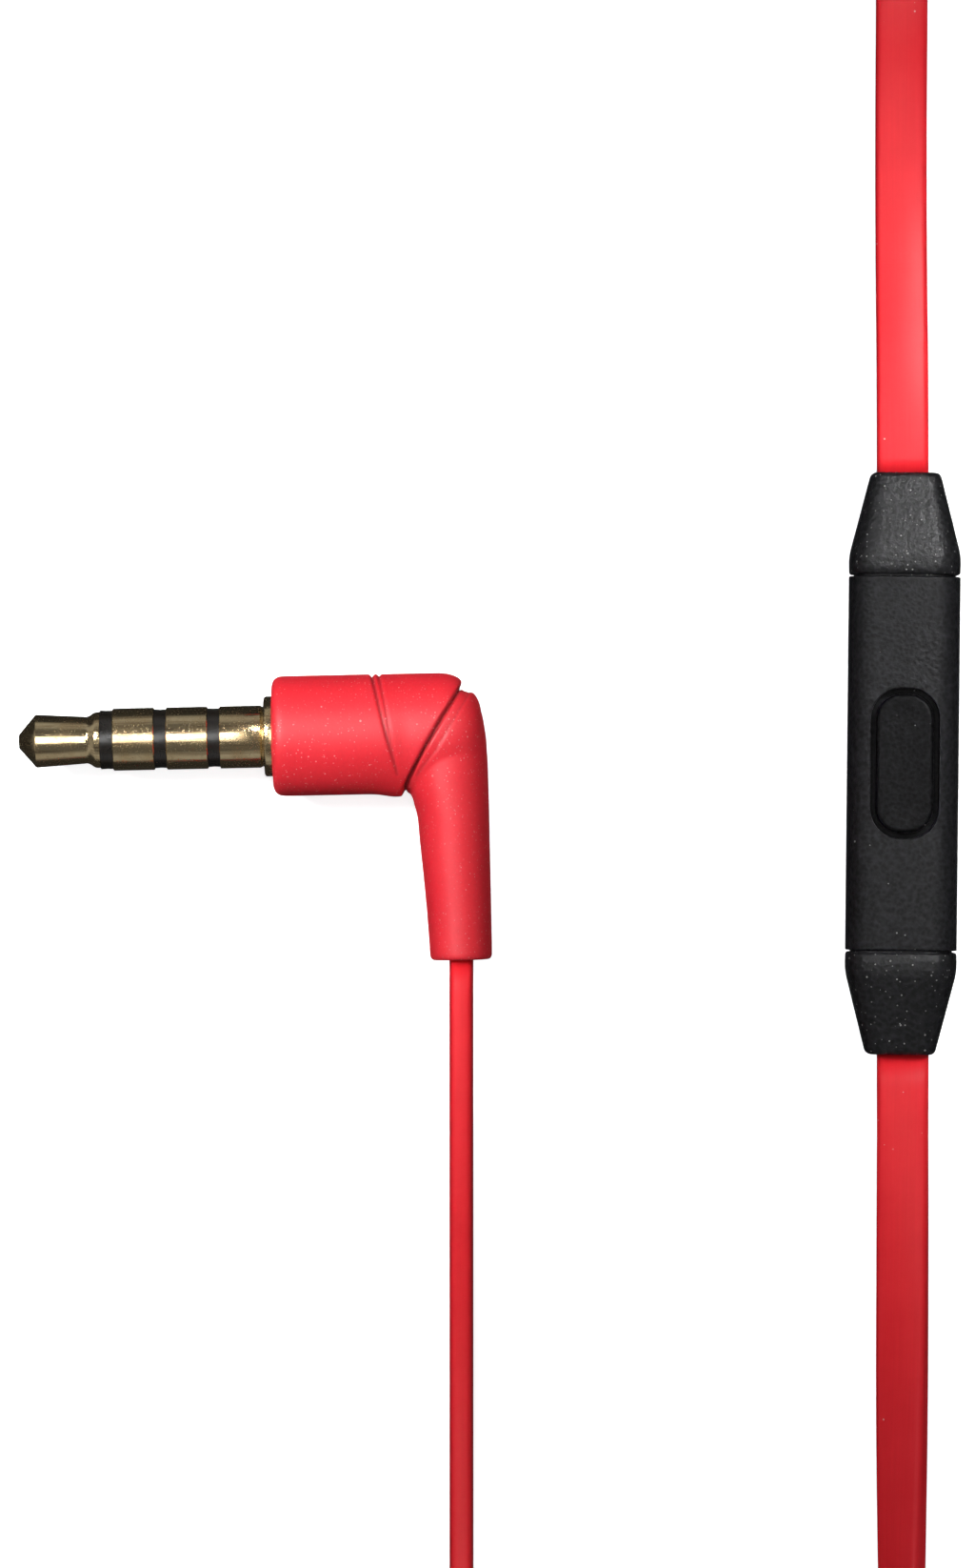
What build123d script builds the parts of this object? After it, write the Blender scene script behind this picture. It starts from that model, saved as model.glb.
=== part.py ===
from build123d import *
import math
import os

os.makedirs("parts", exist_ok=True)

# Wired in-ear earphones with a flat cord, laid out on a table. Millimetres, +Z up.
# Origin: on the table, midway between the two earpieces. +X runs across the pair and the
# cords, the in-line remote and the plug lie towards -Y. Z = 0 is the table top.

# ---- driving dimensions ----
# flat cord: the main cord and the two thinner branch cords
cord_wide = 2.9
cord_thick = 1.35
branch_wide = 2.0
branch_thick = 1.1
turn_gap = 0.25
butt_gap = 0.02
# how far a cutter runs past what it cuts
over = 1.0

# 3.5 mm four-contact plug: radii and lengths along the pin, counted from the boot's front face
jack_r = 1.75
insulator_shy = 0.02
core_r = 1.15
rod_r = 0.45
flange_proud = 0.5
flange_long = 0.47
sleeve_long = 2.49
band_long = 0.67
ring_long = 2.34
tip_long = 4.62
tip_root_shy = 0.17
tip_root_long = 0.26
tip_neck_shy = 0.45
tip_neck_at = 0.75
tip_nose_shy = 0.26
tip_nose_at = 0.95
tip_end_r = 0.36
tail_long = 4.0
tail_shy = 0.25
core_tail = 1.0
rod_tail = 1.0
tag_thick = 0.3
tag_wide = 1.0
tag_long = 2.0
tag_off = 0.35
plug_turn = 1.2

# right-angle boot
boot_r = 3.38
boot_long = 12.15
boot_wall = 0.7
boot_end_round = 2.4
boot_front_round = 0.45
mould_long = 8.0
# leg: width, how far its faces stand inside the barrel's, and how far along it, at three places
leg_root = (4.9, 0.28, 0.5)
leg_mid = (4.05, 0.53, 5.3)
leg_end = (3.45, 1.03, 12.55)
leg_corner = 0.42
leg_shy = 0.05

# in-line remote
remote_wide = 6.2
remote_long = 21.0
remote_high = 5.2
remote_round = 1.6
remote_wall = 0.8
remote_inner_round = 0.3
remote_turn = -0.6
seam = 0.12
relief_long = 5.75
relief_base_long = 1.1
relief_end = (3.85, 3.0)
relief_end_round = 0.96
neck_side = 0.3
neck_high = 2.6
neck_fit = 0.01
flange_side = 0.05
flange_high = 3.1
relief_flange_long = 0.7
button_wide = 3.2
button_long = 7.8
button_round = 1.4
button_gap = 0.32
button_proud = 0.12
button_edge = 0.3
button_lip = 0.45
button_lip_high = 0.45
button_lip_gap = 0.05
button_travel = 0.25
plunger_r = 0.8
board_thick = 0.5
board_side = 0.2
board_end = 0.7
board_drop = 0.1
post_r = 0.45
post_side = 0.15
post_end = 1.0
switch_wide = 2.8
switch_long = 3.4
switch_high = 0.5
dome_high = 0.3
dome_r = 1.2
dome_gap = 0.02
mic_wide = 1.85
mic_long = 2.75
mic_hole_r = 0.4
mic_y = -5.2
gasket_r = 0.9
gasket_high = 0.3
wire_r = 0.2
wire_pitch = 0.5
wire_lap = 1.2

# Y-splitter
split_long = 12.0
split_high = 3.4
split_in_wide = 4.6
split_out_wide = 7.0
split_round = 0.8
split_edge = 0.56
split_wall = 0.7
split_side_wall = 1.3
joint_wide = 2.0
joint_long = 5.4
joint_high = 0.8
branch_apart = 2.9

# earpiece
ear_r = 5.9
ear_wall = 0.8
rear_high = 4.2
rear_round = 0.9
trim_high = 0.8
trim_proud = 0.2
trim_edge = 0.15
spigot_high = 0.6
press_fit = 0.02
front_straight = 2.0
front_dome = 1.6
front_roof = 0.2
shoulder_wide = 1.6
nozzle_r = 2.4
nozzle_wall = 0.6
nozzle_long = 7.2
nozzle_root = 1.0
nozzle_rim_proud = 0.25
nozzle_rim_long = 0.9
nozzle_tilt = 18.0
tilt_drop = 0.6
mesh_thick = 0.15
mesh_set_in = 0.4
mesh_fit = 0.01
driver_gap = 0.3
driver_fit = 0.05
driver_drop = 0.4
driver_flange_high = 1.0
driver_flange_wall = 0.4
driver_cup_r = 3.5
driver_cup_high = 2.0
driver_cup_wall = 0.35
magnet_r = 2.9
magnet_shy = 0.15
voice_coil_r = 2.3
voice_coil_thick = 0.3
voice_coil_high = 0.8
voice_coil_drop = 0.1
diaphragm_shy = 0.45
diaphragm_thick = 0.12
tip_r = 6.1
tip_skirt_from = 2.3
tip_thick = 0.7
tip_core_from = 2.1
tip_front = 9.7
tip_fit = 0.06
tip_mouth_grow = 0.1
tip_lip = 0.7
tip_web_at = 2.6
tip_web_bend = (0.5, 4.4)
tip_bulge = (0.55, 3.4)
stub_long = 7.0
stub_r = 1.75
stub_end_r = 1.4
stub_up = 0.3
stub_neck_r = 1.225
stub_neck_long = 1.8
stub_sunk = 0.25

# lay-out on the table: radii of the outermost turn's middle line and where the parts lie
main_coil_r = 22.2
main_bend_r = 10.0
branch_coil_r = 13.0
branch_bend_r = 6.5
coil_edge = 0.25
main_coil_inner_r = 11.6
branch_coil_inner_r = 8.0
main_join_late = 0.30
branch_join_late = -0.19
remote_y = -110.0
split_y = -58.0
branch_coil_y = -36.3
main_coil_y = -187.0
plug_from_remote = (-35.49, 1.53)

# ---- values that follow from them ----
main_pitch = cord_thick + turn_gap
branch_pitch = branch_thick + turn_gap
plug_z = boot_r
remote_mid_z = remote_high / 2
split_mid_z = split_high / 2
ear_x = branch_apart / 2 + branch_coil_r
ear_y = (stub_long + ear_r - tip_r) / 2
trim_z = rear_high
front_z = rear_high + trim_high
tilt_z = front_z + front_straight + front_dome - tilt_drop
nozzle_bore_r = nozzle_r - nozzle_wall
nozzle_rim_r = nozzle_r + nozzle_rim_proud
stub_z = stub_r + stub_up
main_coil_x = -main_coil_r
REMOTE = Location((0, remote_y, 0), (0, 0, remote_turn))
PLUG = Location(
    (plug_from_remote[0], remote_y + plug_from_remote[1], plug_z), (0, 0, plug_turn)
)


def save(node, shape):
    """Write one named sub-part."""
    export_step(shape, f"parts/{node}.step")


def bar(r, x0, x1):
    """A round bar along X from x0 to x1."""
    return Location(((x0 + x1) / 2, 0, 0), (0, 90, 0)) * Cylinder(r, x1 - x0)


def disc(r, z0, z1, at=(0, 0)):
    """A round bar along Z from z0 to z1."""
    return Location((at[0], at[1], (z0 + z1) / 2)) * Cylinder(r, z1 - z0)


def block(x, y, z, at):
    """A rectangular block centred on a point."""
    return Location(at) * Box(x, y, z)


def slab(shape, z0, z1):
    """A flat outline raised from z0 to z1."""
    return Location((0, 0, z0)) * extrude(shape, z1 - z0)


# ---- 3.5 mm plug: pin along -X from the boot's front face at x = 0 ----
sleeve_from = -(flange_long + sleeve_long)
band_3 = (sleeve_from - band_long, sleeve_from)
ring_2 = (band_3[0] - ring_long, band_3[0])
band_2 = (ring_2[0] - band_long, ring_2[0])
ring_1 = (band_2[0] - ring_long, band_2[0])
band_1 = (ring_1[0] - band_long, ring_1[0])
tip_from = band_1[0]
core_back = tail_long + core_tail
tail_r = jack_r - tail_shy


def jack_tip():
    """Turned tip with its neck, on the rod that runs back through the core."""
    nose = tip_from - tip_long
    outline = Polyline(
        (core_back + rod_tail, 0),
        (core_back + rod_tail, rod_r),
        (tip_from, rod_r),
        (tip_from, jack_r - tip_root_shy),
        (tip_from - tip_root_long, jack_r - tip_root_shy),
        (tip_from - tip_neck_at, jack_r - tip_neck_shy),
        (nose + tip_nose_at, jack_r - tip_nose_shy),
        (nose, tip_end_r),
        (nose, 0),
        close=True,
    )
    return revolve(make_face(outline), Axis.X)


def jack_insulator():
    """Moulded core: one piece that shows as the three dark bands between the contacts."""
    body = bar(core_r, tip_from, core_back)
    for x0, x1 in (band_1, band_2, band_3):
        body += bar(jack_r - insulator_shy, x0, x1)
    return body - bar(rod_r, tip_from - over, core_back + over)


def jack_ring(span):
    """One ring contact on the core."""
    return bar(jack_r, *span) - bar(core_r, span[0] - over, span[1] + over)


def jack_sleeve():
    """Sleeve contact with its flange and the knurled tail that the moulding grips."""
    body = bar(jack_r, sleeve_from, -flange_long)
    body += bar(jack_r + flange_proud, -flange_long, 0) + bar(tail_r, 0, tail_long)
    return body - bar(core_r, sleeve_from - over, tail_long + over)


def jack_tags():
    """Solder tags of the sleeve and of the two rings, as separate strips."""
    mid = (core_r + tail_r) / 2
    tags = block(tag_long, tag_wide, tag_thick, (tail_long + tag_long / 2, 0, mid))
    for side in (-1, 1):
        place = (core_back + tag_long / 2, side * (rod_r + tag_off), 0)
        tags += block(tag_long, tag_thick, tag_wide, place)
    return tags


def mould_outline(grow=0.0):
    """Space of the hard inner moulding, which starts behind the boot's front wall."""
    return bar(boot_r - boot_wall + grow, boot_wall, boot_wall + mould_long + grow)


def plug_inner_mould():
    """Hard moulding around the tags and the sleeve's tail."""
    body = mould_outline() - bar(tail_r, -over, tail_long)
    body -= bar(core_r, tail_long - over, core_back)
    body -= bar(rod_r, core_back - over, core_back + rod_tail)
    return body - jack_tags()


def leg_middle(place):
    """How far along the barrel the leg's middle line is, so that its outer face is straight."""
    return boot_long - leg_shy - place[0] / 2


def leg_section(place):
    """Rounded section of the leg at one of its three places."""
    wide, shy, reach = place
    deep = 2 * (boot_r - shy)
    flat = Plane(origin=(leg_middle(place), -reach, 0), x_dir=(1, 0, 0), z_dir=(0, -1, 0))
    return flat * RectangleRounded(wide, deep, wide * leg_corner)


def plug_boot():
    """Soft right-angle boot: a round barrel, mitred into a tapering leg for the flat cord."""
    barrel = bar(boot_r, 0, boot_long)
    ends = barrel.edges().filter_by(GeomType.CIRCLE).sort_by(Axis.X)
    barrel = fillet(ends[-1], boot_end_round)
    ends = barrel.edges().filter_by(GeomType.CIRCLE).sort_by(Axis.X)
    barrel = fillet(ends[0], boot_front_round)
    root, mid, end = (leg_section(place) for place in (leg_root, leg_mid, leg_end))
    leg = loft([root, mid], ruled=True) + loft([mid, end], ruled=True)
    body = barrel + leg
    return body - mould_outline() - bar(tail_r, -over, boot_wall + over)


save("jack_tip", PLUG * jack_tip())
save("jack_insulator", PLUG * jack_insulator())
save("jack_ring_front", PLUG * jack_ring(ring_1))
save("jack_ring_rear", PLUG * jack_ring(ring_2))
save("jack_sleeve", PLUG * jack_sleeve())
save("jack_tags", PLUG * jack_tags())
save("plug_inner_mould", PLUG * plug_inner_mould())
save("plug_boot", PLUG * plug_boot())

# ---- in-line remote: local frame centred on the housing, Y along the cord, back face at z = 0 ----
inner_wide = remote_wide - 2 * remote_wall
inner_long = remote_long - 2 * remote_wall
inner_top = remote_high - remote_wall
neck_wide = inner_wide - 2 * neck_side
board_wide = inner_wide - 2 * board_side
board_long = inner_long - 2 * (relief_flange_long + board_end)
board_top = remote_mid_z - board_drop
board_bottom = board_top - board_thick
mic_bottom = remote_wall + gasket_high
mic_high = board_bottom - mic_bottom
dome_z = board_top + switch_high
plunger_z = dome_z + dome_high + dome_gap
lip_top = inner_top - button_lip_gap
lip_bottom = lip_top - button_lip_high
opening = RectangleRounded(
    button_wide + 2 * button_gap, button_long + 2 * button_gap, button_round + button_gap
)


def rounded_bar(wide, long, z0, z1, round_r):
    """A bar along Y with its four long edges rounded."""
    body = block(wide, long, z1 - z0, (0, 0, (z0 + z1) / 2))
    return fillet(body.edges().filter_by(Axis.Y), round_r)


def remote_solid():
    """Housing before it is split at mid height: a hollow bar with an opening at each end."""
    body = rounded_bar(remote_wide, remote_long, 0, remote_high, remote_round)
    body -= rounded_bar(inner_wide, inner_long, remote_wall, inner_top, remote_inner_round)
    return body - block(neck_wide, remote_long + over, neck_high, (0, 0, remote_mid_z))


def posts(z0, z1):
    """Four posts that hold the board's corners."""
    found = []
    for x in (-1, 1):
        for y in (-1, 1):
            at = (x * (board_wide / 2 - post_r - post_side), y * (board_long / 2 - post_end))
            found.append(disc(post_r, z0, z1, at))
    return found


def half_space(side):
    """Everything above the housing's mid height, or below it."""
    height = remote_mid_z + side * remote_high / 2
    return block(2 * remote_wide, 2 * remote_long, remote_high, (0, 0, height))


def front_shell():
    """Front half with the button's opening and the posts that press on the board."""
    body = remote_solid() & half_space(1)
    body -= slab(opening, inner_top - over, remote_high + over)
    for post in posts(board_top, inner_top):
        body += post
    return body


def back_shell():
    """Back half with the microphone's hole and the posts under the board."""
    body = remote_solid() & half_space(-1)
    body -= disc(mic_hole_r, -over, remote_wall + over, (0, mic_y))
    for post in posts(remote_wall, board_bottom):
        body += post
    return body


def button_cap():
    """Oval key with a tongue at each end that keeps it in, and a plunger over the dome."""
    body = slab(RectangleRounded(button_wide, button_long, button_round), lip_bottom,
                remote_high + button_proud)
    top = body.edges().group_by(Axis.Z)[-1]
    body = fillet(top, button_edge)
    tongues = Rectangle(button_wide - button_round, button_long + 2 * (button_gap + button_lip))
    body += slab(tongues, lip_bottom, lip_top)
    return body + disc(plunger_r, plunger_z, lip_bottom)


def snap_dome():
    """Sprung metal dome: a shallow cone with a flat crown on the switch."""
    return Location((0, 0, dome_z + dome_high / 2)) * Cone(dome_r, plunger_r, dome_high)


def relief(end):
    """Soft strain relief on one end of the housing: +1 for the end nearest the earpieces."""
    base_y = remote_long / 2 + seam
    tip_y = base_y + relief_long
    flats = [
        (base_y, remote_wide, remote_high, remote_round),
        (base_y + relief_base_long, remote_wide, remote_high, remote_round),
        (tip_y, relief_end[0], relief_end[1], relief_end_round),
    ]
    cuts = []
    for y, wide, high, round_r in flats:
        flat = Plane(origin=(0, y, remote_mid_z), x_dir=(1, 0, 0), z_dir=(0, 1, 0))
        cuts.append(flat * RectangleRounded(wide, high, round_r))
    body = loft(cuts[:2], ruled=True) + loft(cuts[1:], ruled=True)
    wall_in = remote_long / 2 - remote_wall
    neck_long = base_y - wall_in
    neck = (neck_wide - 2 * neck_fit, neck_long, neck_high - 2 * neck_fit)
    body += block(*neck, (0, wall_in + neck_long / 2, remote_mid_z))
    flange = (inner_wide - 2 * flange_side, relief_flange_long, flange_high)
    body += block(*flange, (0, wall_in - relief_flange_long / 2, remote_mid_z))
    return body if end > 0 else Location((0, 0, 0), (0, 0, 180)) * body


def remote_wires():
    """Eight insulated wire ends, four from each relief to the board's pads."""
    wires = []
    y0 = board_long / 2 - wire_lap
    y1 = remote_long / 2 - remote_wall - relief_flange_long
    for end in (-1, 1):
        for k in range(4):
            x = (k - 1.5) * wire_pitch
            place = Location((x, end * (y0 + y1) / 2, board_top + wire_r), (90, 0, 0))
            wires.append(place * Cylinder(wire_r, y1 - y0))
    return Compound(wires)


board = block(board_wide, board_long, board_thick, (0, 0, board_top - board_thick / 2))
switch = block(switch_wide, switch_long, switch_high, (0, 0, board_top + switch_high / 2))
microphone = block(mic_wide, mic_long, mic_high, (0, mic_y, mic_bottom + mic_high / 2))
gasket = disc(gasket_r, remote_wall, mic_bottom, (0, mic_y))
gasket -= disc(mic_hole_r, 0, mic_bottom + over, (0, mic_y))

save("remote_front_shell", REMOTE * front_shell())
save("remote_back_shell", REMOTE * back_shell())
save("remote_button", REMOTE * button_cap())
save("remote_board", REMOTE * board)
save("remote_switch", REMOTE * switch)
save("remote_snap_dome", REMOTE * snap_dome())
save("remote_microphone", REMOTE * microphone)
save("remote_mic_gasket", REMOTE * gasket)
save("remote_wires", REMOTE * remote_wires())
save("remote_relief_upper", REMOTE * relief(1))
save("remote_relief_lower", REMOTE * relief(-1))

# ---- Y-splitter: two halves around a soldered joint ----
split_from = split_y - split_long / 2
split_to = split_y + split_long / 2


def splitter_outline(shrink=0.0):
    """Wedge-shaped outline, narrow where the main cord comes in."""
    lower, upper = split_in_wide / 2 - shrink, split_out_wide / 2 - shrink
    y0, y1 = split_from + shrink, split_to - shrink
    return make_face(Polyline((-lower, y0), (lower, y0), (upper, y1), (-upper, y1), close=True))


def splitter_half(top):
    """One half of the splitter's case, hollow around the joint."""
    body = slab(splitter_outline(), 0, split_high)
    body = fillet(body.edges().filter_by(Axis.Z), split_round)
    rim = body.edges().group_by(Axis.Z)
    body = fillet(rim[0] + rim[-1], split_edge)
    body -= slab(splitter_outline(split_side_wall), split_wall, split_high - split_wall)
    centre = split_mid_z + (split_high if top else -split_high) / 2
    return body & block(2 * split_out_wide, 2 * split_long, split_high, (0, split_y, centre))


split_joint = block(joint_wide, joint_long, joint_high, (0, split_y, split_wall + joint_high / 2))
save("splitter_top", splitter_half(True))
save("splitter_bottom", splitter_half(False))
save("splitter_joint", split_joint)

# ---- earpieces: local frame on the housing's axis, rear cover down, cable boot towards -Y ----
driver_z = front_z - driver_drop
NOZZLE = Location((0, 0, tilt_z), (0, nozzle_tilt, 0))
inner_r = ear_r - ear_wall
driver_r = inner_r - driver_gap


def rear_cover():
    """Cup that closes the back, with the cable boot's hole in its side."""
    body = disc(ear_r, 0, rear_high)
    body = fillet(body.edges().group_by(Axis.Z)[0], rear_round)
    body -= disc(inner_r, ear_wall, rear_high + over)
    hole = Cylinder(stub_neck_r + press_fit, 2 * (ear_wall + over))
    return body - Location((0, -ear_r, stub_z), (90, 0, 0)) * hole


def trim_ring():
    """Ring clamped between the two shells, with a spigot into the rear cover."""
    body = disc(ear_r + trim_proud, trim_z, front_z)
    rims = body.edges().group_by(Axis.Z)
    body = chamfer(rims[0] + rims[-1], trim_edge)
    body += disc(inner_r - press_fit, trim_z - spigot_high, trim_z)
    return body - disc(driver_r + driver_fit, trim_z - spigot_high - over, front_z + over)


def nozzle_bar(r, s0, s1):
    """A round bar along the tilted nozzle axis."""
    return NOZZLE * disc(r, s0, s1)


def front_housing():
    """Front shell with its shoulder and the tilted nozzle, bored for the sound."""
    top = front_z + front_straight
    body = disc(ear_r, front_z, top)
    shoulder = Cone(ear_r, nozzle_r + shoulder_wide, front_dome)
    body += Location((0, 0, top + front_dome / 2)) * shoulder
    body += nozzle_bar(nozzle_r, -nozzle_root, nozzle_long)
    body += nozzle_bar(nozzle_rim_r, nozzle_long - nozzle_rim_long, nozzle_long)
    body -= disc(inner_r, front_z - over, top - front_roof)
    body -= nozzle_bar(nozzle_bore_r, -nozzle_root - tilt_drop, nozzle_long + over)
    return body


def driver_frame():
    """Driver's basket: a flange clamped in the front shell and a cup around the magnet."""
    body = disc(driver_r, driver_z, driver_z + driver_flange_high)
    body += disc(driver_cup_r, driver_z - driver_cup_high, driver_z)
    top = driver_z + driver_flange_high + over
    cup_floor = driver_z - driver_cup_high + driver_cup_wall
    body -= disc(driver_cup_r - driver_cup_wall, cup_floor, top)
    return body - disc(driver_r - driver_flange_wall, driver_z + driver_flange_wall, top)


def ear_tip():
    """Silicone tip: a core tube over the nozzle and a skirt turned back over it."""
    bore_r = nozzle_rim_r + tip_fit
    core_out = bore_r + tip_thick
    front = tip_front
    seat = nozzle_long + tip_fit
    skirt_in = tip_r - tip_thick
    mouth_r = nozzle_bore_r + tip_mouth_grow
    web = (skirt_in - tip_web_bend[0], front - tip_web_bend[1])
    bulge = (tip_r - tip_bulge[0], front - tip_bulge[1])
    outline = [
        Line((bore_r, tip_core_from), (core_out, tip_core_from)),
        Line((core_out, tip_core_from), (core_out, front - tip_web_at)),
        Spline((core_out, front - tip_web_at), web, (skirt_in, tip_skirt_from)),
        Line((skirt_in, tip_skirt_from), (tip_r, tip_skirt_from)),
        Spline((tip_r, tip_skirt_from), bulge, (mouth_r + tip_lip, front)),
        Line((mouth_r + tip_lip, front), (mouth_r, front)),
        Line((mouth_r, front), (mouth_r, seat)),
        Line((mouth_r, seat), (bore_r, seat)),
        Line((bore_r, seat), (bore_r, tip_core_from)),
    ]
    return NOZZLE * revolve(Plane.XZ * make_face(outline), Axis.Z)


def cable_boot():
    """Soft boot that holds the branch cord, tapering away from the rear cover."""
    ends = []
    for reach, r in ((ear_r - stub_sunk, stub_r), (ear_r + stub_long, stub_end_r)):
        flat = Plane(origin=(0, -reach, stub_z), x_dir=(1, 0, 0), z_dir=(0, -1, 0))
        ends.append(flat * Circle(r))
    body = loft(ends) - disc(ear_r, -over, rear_high + over)
    neck = Location((0, stub_up - ear_r, stub_z), (90, 0, 0))
    return body + neck * Cylinder(stub_neck_r, stub_neck_long)


def earpiece(side, name):
    """Every piece of one earpiece: side is +1 for the one at +X, and the nozzle leans outwards."""
    magnet_from = driver_z - driver_cup_high + driver_cup_wall
    magnet = disc(magnet_r, magnet_from, driver_z - magnet_shy)
    coil_from = driver_z - voice_coil_drop
    coil_to = coil_from + voice_coil_high
    voice_coil = disc(voice_coil_r, coil_from, coil_to)
    voice_coil -= disc(voice_coil_r - voice_coil_thick, coil_from - over, coil_to + over)
    diaphragm = disc(driver_r - diaphragm_shy, coil_to, coil_to + diaphragm_thick)
    mesh_from = nozzle_long - mesh_set_in
    mesh = nozzle_bar(nozzle_bore_r - mesh_fit, mesh_from, mesh_from + mesh_thick)
    pieces = {
        "rear_cover": rear_cover(),
        "trim_ring": trim_ring(),
        "front_housing": front_housing(),
        "driver_frame": driver_frame(),
        "driver_magnet": magnet,
        "voice_coil": voice_coil,
        "diaphragm": diaphragm,
        "nozzle_mesh": mesh,
        "ear_tip": ear_tip(),
        "cable_boot": cable_boot(),
    }
    for node, shape in pieces.items():
        if side < 0:
            shape = shape.mirror(Plane.YZ)
        save(f"{name}_{node}", Location((side * ear_x, ear_y, 0)) * shape)


earpiece(1, "right")
earpiece(-1, "left")


# ---- cords: straight runs joined by tangent arcs, and one closed solid for each coil ----
def corner_radii(points):
    """The arc at each inner point: 0.45 of its shorter run over the tangent of half the turn."""
    radii = []
    for before, here, after in zip(points, points[1:], points[2:]):
        run_in = Vector(*here) - Vector(*before)
        run_out = Vector(*after) - Vector(*here)
        half = math.radians(run_in.get_angle(run_out) / 2)
        radii.append(0.45 * min(run_in.length, run_out.length) / math.tan(half))
    return radii


def coil_length(r_out, r_in, pitch, late):
    """Cord in a doubled coil: two strands wound side by side and joined by an S in the middle.
    late is how far round, in turns, the second strand joins after the first."""
    first = (r_out - r_in) / (2 * pitch)
    second = first - late
    r_join = r_out - 2 * pitch * late
    turned = first * (r_out + r_in) / 2 + second * (r_join + r_in) / 2
    return 2 * math.pi * turned + math.pi * r_in


def coil_solid(r_out, r_join, wide, thick, lead_side, lead_way, lead, start_x, bend_r):
    """A doubled coil standing on edge, as one disc round its own centre, with the two strands
    that leave it. The first leaves straight, at lead_side on X, and runs lead along Y in the
    direction lead_way. The second comes down along Y at start_x and bends on to the disc
    through one arc that touches the turn of radius r_join. Returns the solid and how far from
    the centre that arc begins."""
    body = disc(max(r_out, r_join) + thick / 2 + coil_edge, 0, wide)
    body += block(thick, lead, wide, (lead_side * r_out, lead_way * lead / 2, wide / 2))
    arc_x = start_x + bend_r
    arc_y = math.sqrt((r_join + bend_r) ** 2 - arc_x**2)
    share = r_join / (r_join + bend_r)
    touch = Vector(arc_x * share, arc_y * share)
    turn = math.acos((arc_x - touch.X) / bend_r)
    half = math.pi + turn / 2
    via = (arc_x + bend_r * math.cos(half), arc_y + bend_r * math.sin(half), wide / 2)
    path = ThreePointArc((start_x, arc_y, wide / 2), via, (touch.X, touch.Y, wide / 2))
    flat = Plane(origin=path @ 0, x_dir=(0, 0, 1), z_dir=path % 0)
    return body + sweep(flat * Rectangle(wide, thick), path=path), arc_y


def stretch(node, points, section):
    """A stretch of cord along a route, with its section drawn across the start of it."""
    radii = corner_radii(points)
    route = FilletPolyline(*points, radius=radii)
    start = Plane(origin=route @ 0, x_dir=(1, 0, 0), z_dir=route % 0)
    solid = sweep(start * section, path=route)
    share = solid.volume / (section.area * route.length)
    arcs = " ".join(f"{r:.1f}" for r in radii)
    print(f"{node} length {route.length:.1f} arc radii {arcs} volume share {share:.4f}")
    save(node, solid)
    return route.length


# main cord: plug to coil, coil, coil to the remote's lower relief
leg_at = (PLUG * Location((leg_middle(leg_end), -leg_end[2], 0))).position
main_join_r = main_coil_r - 2 * main_pitch * main_join_late
main_lead = 12.0
main_coil, main_bend_y = coil_solid(
    main_coil_r, main_join_r, cord_wide, cord_thick, 1, 1, main_lead,
    leg_at.X - main_coil_x, main_bend_r,
)
save("cord_main_coil", Location((main_coil_x, main_coil_y, 0)) * main_coil)

plug_route = [
    (leg_at.X, leg_at.Y - butt_gap, plug_z),
    (leg_at.X, leg_at.Y - 9.0, plug_z),
    (leg_at.X, leg_at.Y - 22.0, cord_wide / 2),
    (leg_at.X, main_coil_y + main_bend_y, cord_wide / 2),
]
plug_run = stretch("cord_plug_run", plug_route, Rectangle(cord_thick, cord_wide))

# between the coil and the remote the flat cord turns from standing on edge to lying flat
relief_reach = remote_long / 2 + seam + relief_long + butt_gap
remote_route = [
    (0, remote_y - relief_reach, remote_mid_z),
    (0, remote_y - relief_reach - 9.0, remote_mid_z),
    (0, remote_y - relief_reach - 24.0, cord_wide / 2),
    (0, main_coil_y + main_lead, cord_wide / 2),
]
remote_run = stretch("cord_remote_run", remote_route, Circle(cord_wide / 2))

upper_route = [
    (0, remote_y + relief_reach, remote_mid_z),
    (0, remote_y + relief_reach + 5.0, remote_mid_z),
    (0, remote_y + relief_reach + 13.0, cord_thick / 2 + 0.1),
    (0, split_from - 8.0, cord_thick / 2 + 0.2),
    (0, split_from - 3.5, split_mid_z),
    (0, split_from - butt_gap, split_mid_z),
]
upper_cord = stretch("cord_upper", upper_route, Rectangle(cord_wide, cord_thick))

# branch cords: splitter to coil, coil, coil to the earpiece's boot
branch_join_r = branch_coil_r - 2 * branch_pitch * branch_join_late
branch_lead = 7.0
branch_coil, branch_bend_y = coil_solid(
    branch_coil_r, branch_join_r, branch_wide, branch_thick, -1, -1, branch_lead,
    0, branch_bend_r,
)
lead_end_y = branch_coil_y - branch_lead
bend_y = branch_coil_y + branch_bend_y
stub_y = ear_y - ear_r - stub_long
branch_section = Rectangle(branch_thick, branch_wide)
for side, name in ((1, "right"), (-1, "left")):
    whole = branch_coil if side > 0 else branch_coil.mirror(Plane.YZ)
    save(f"cord_{name}_coil", Location((side * ear_x, branch_coil_y, 0)) * whole)
    x = side * branch_apart / 2
    lead_route = [
        (x, split_to + butt_gap, split_mid_z),
        (x, split_to + 2.6, split_mid_z),
        (x, split_to + 5.6, branch_wide / 2),
        (x, lead_end_y, branch_wide / 2),
    ]
    branch_lead_long = stretch(f"cord_{name}_lead", lead_route, branch_section)
    rise_route = [
        (side * ear_x, bend_y, branch_wide / 2),
        (side * ear_x, bend_y + 2.4, branch_wide / 2),
        (side * ear_x, stub_y - 2.4, stub_z),
        (side * ear_x, stub_y - butt_gap, stub_z),
    ]
    branch_rise_long = stretch(f"cord_{name}_rise", rise_route, branch_section)

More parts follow.
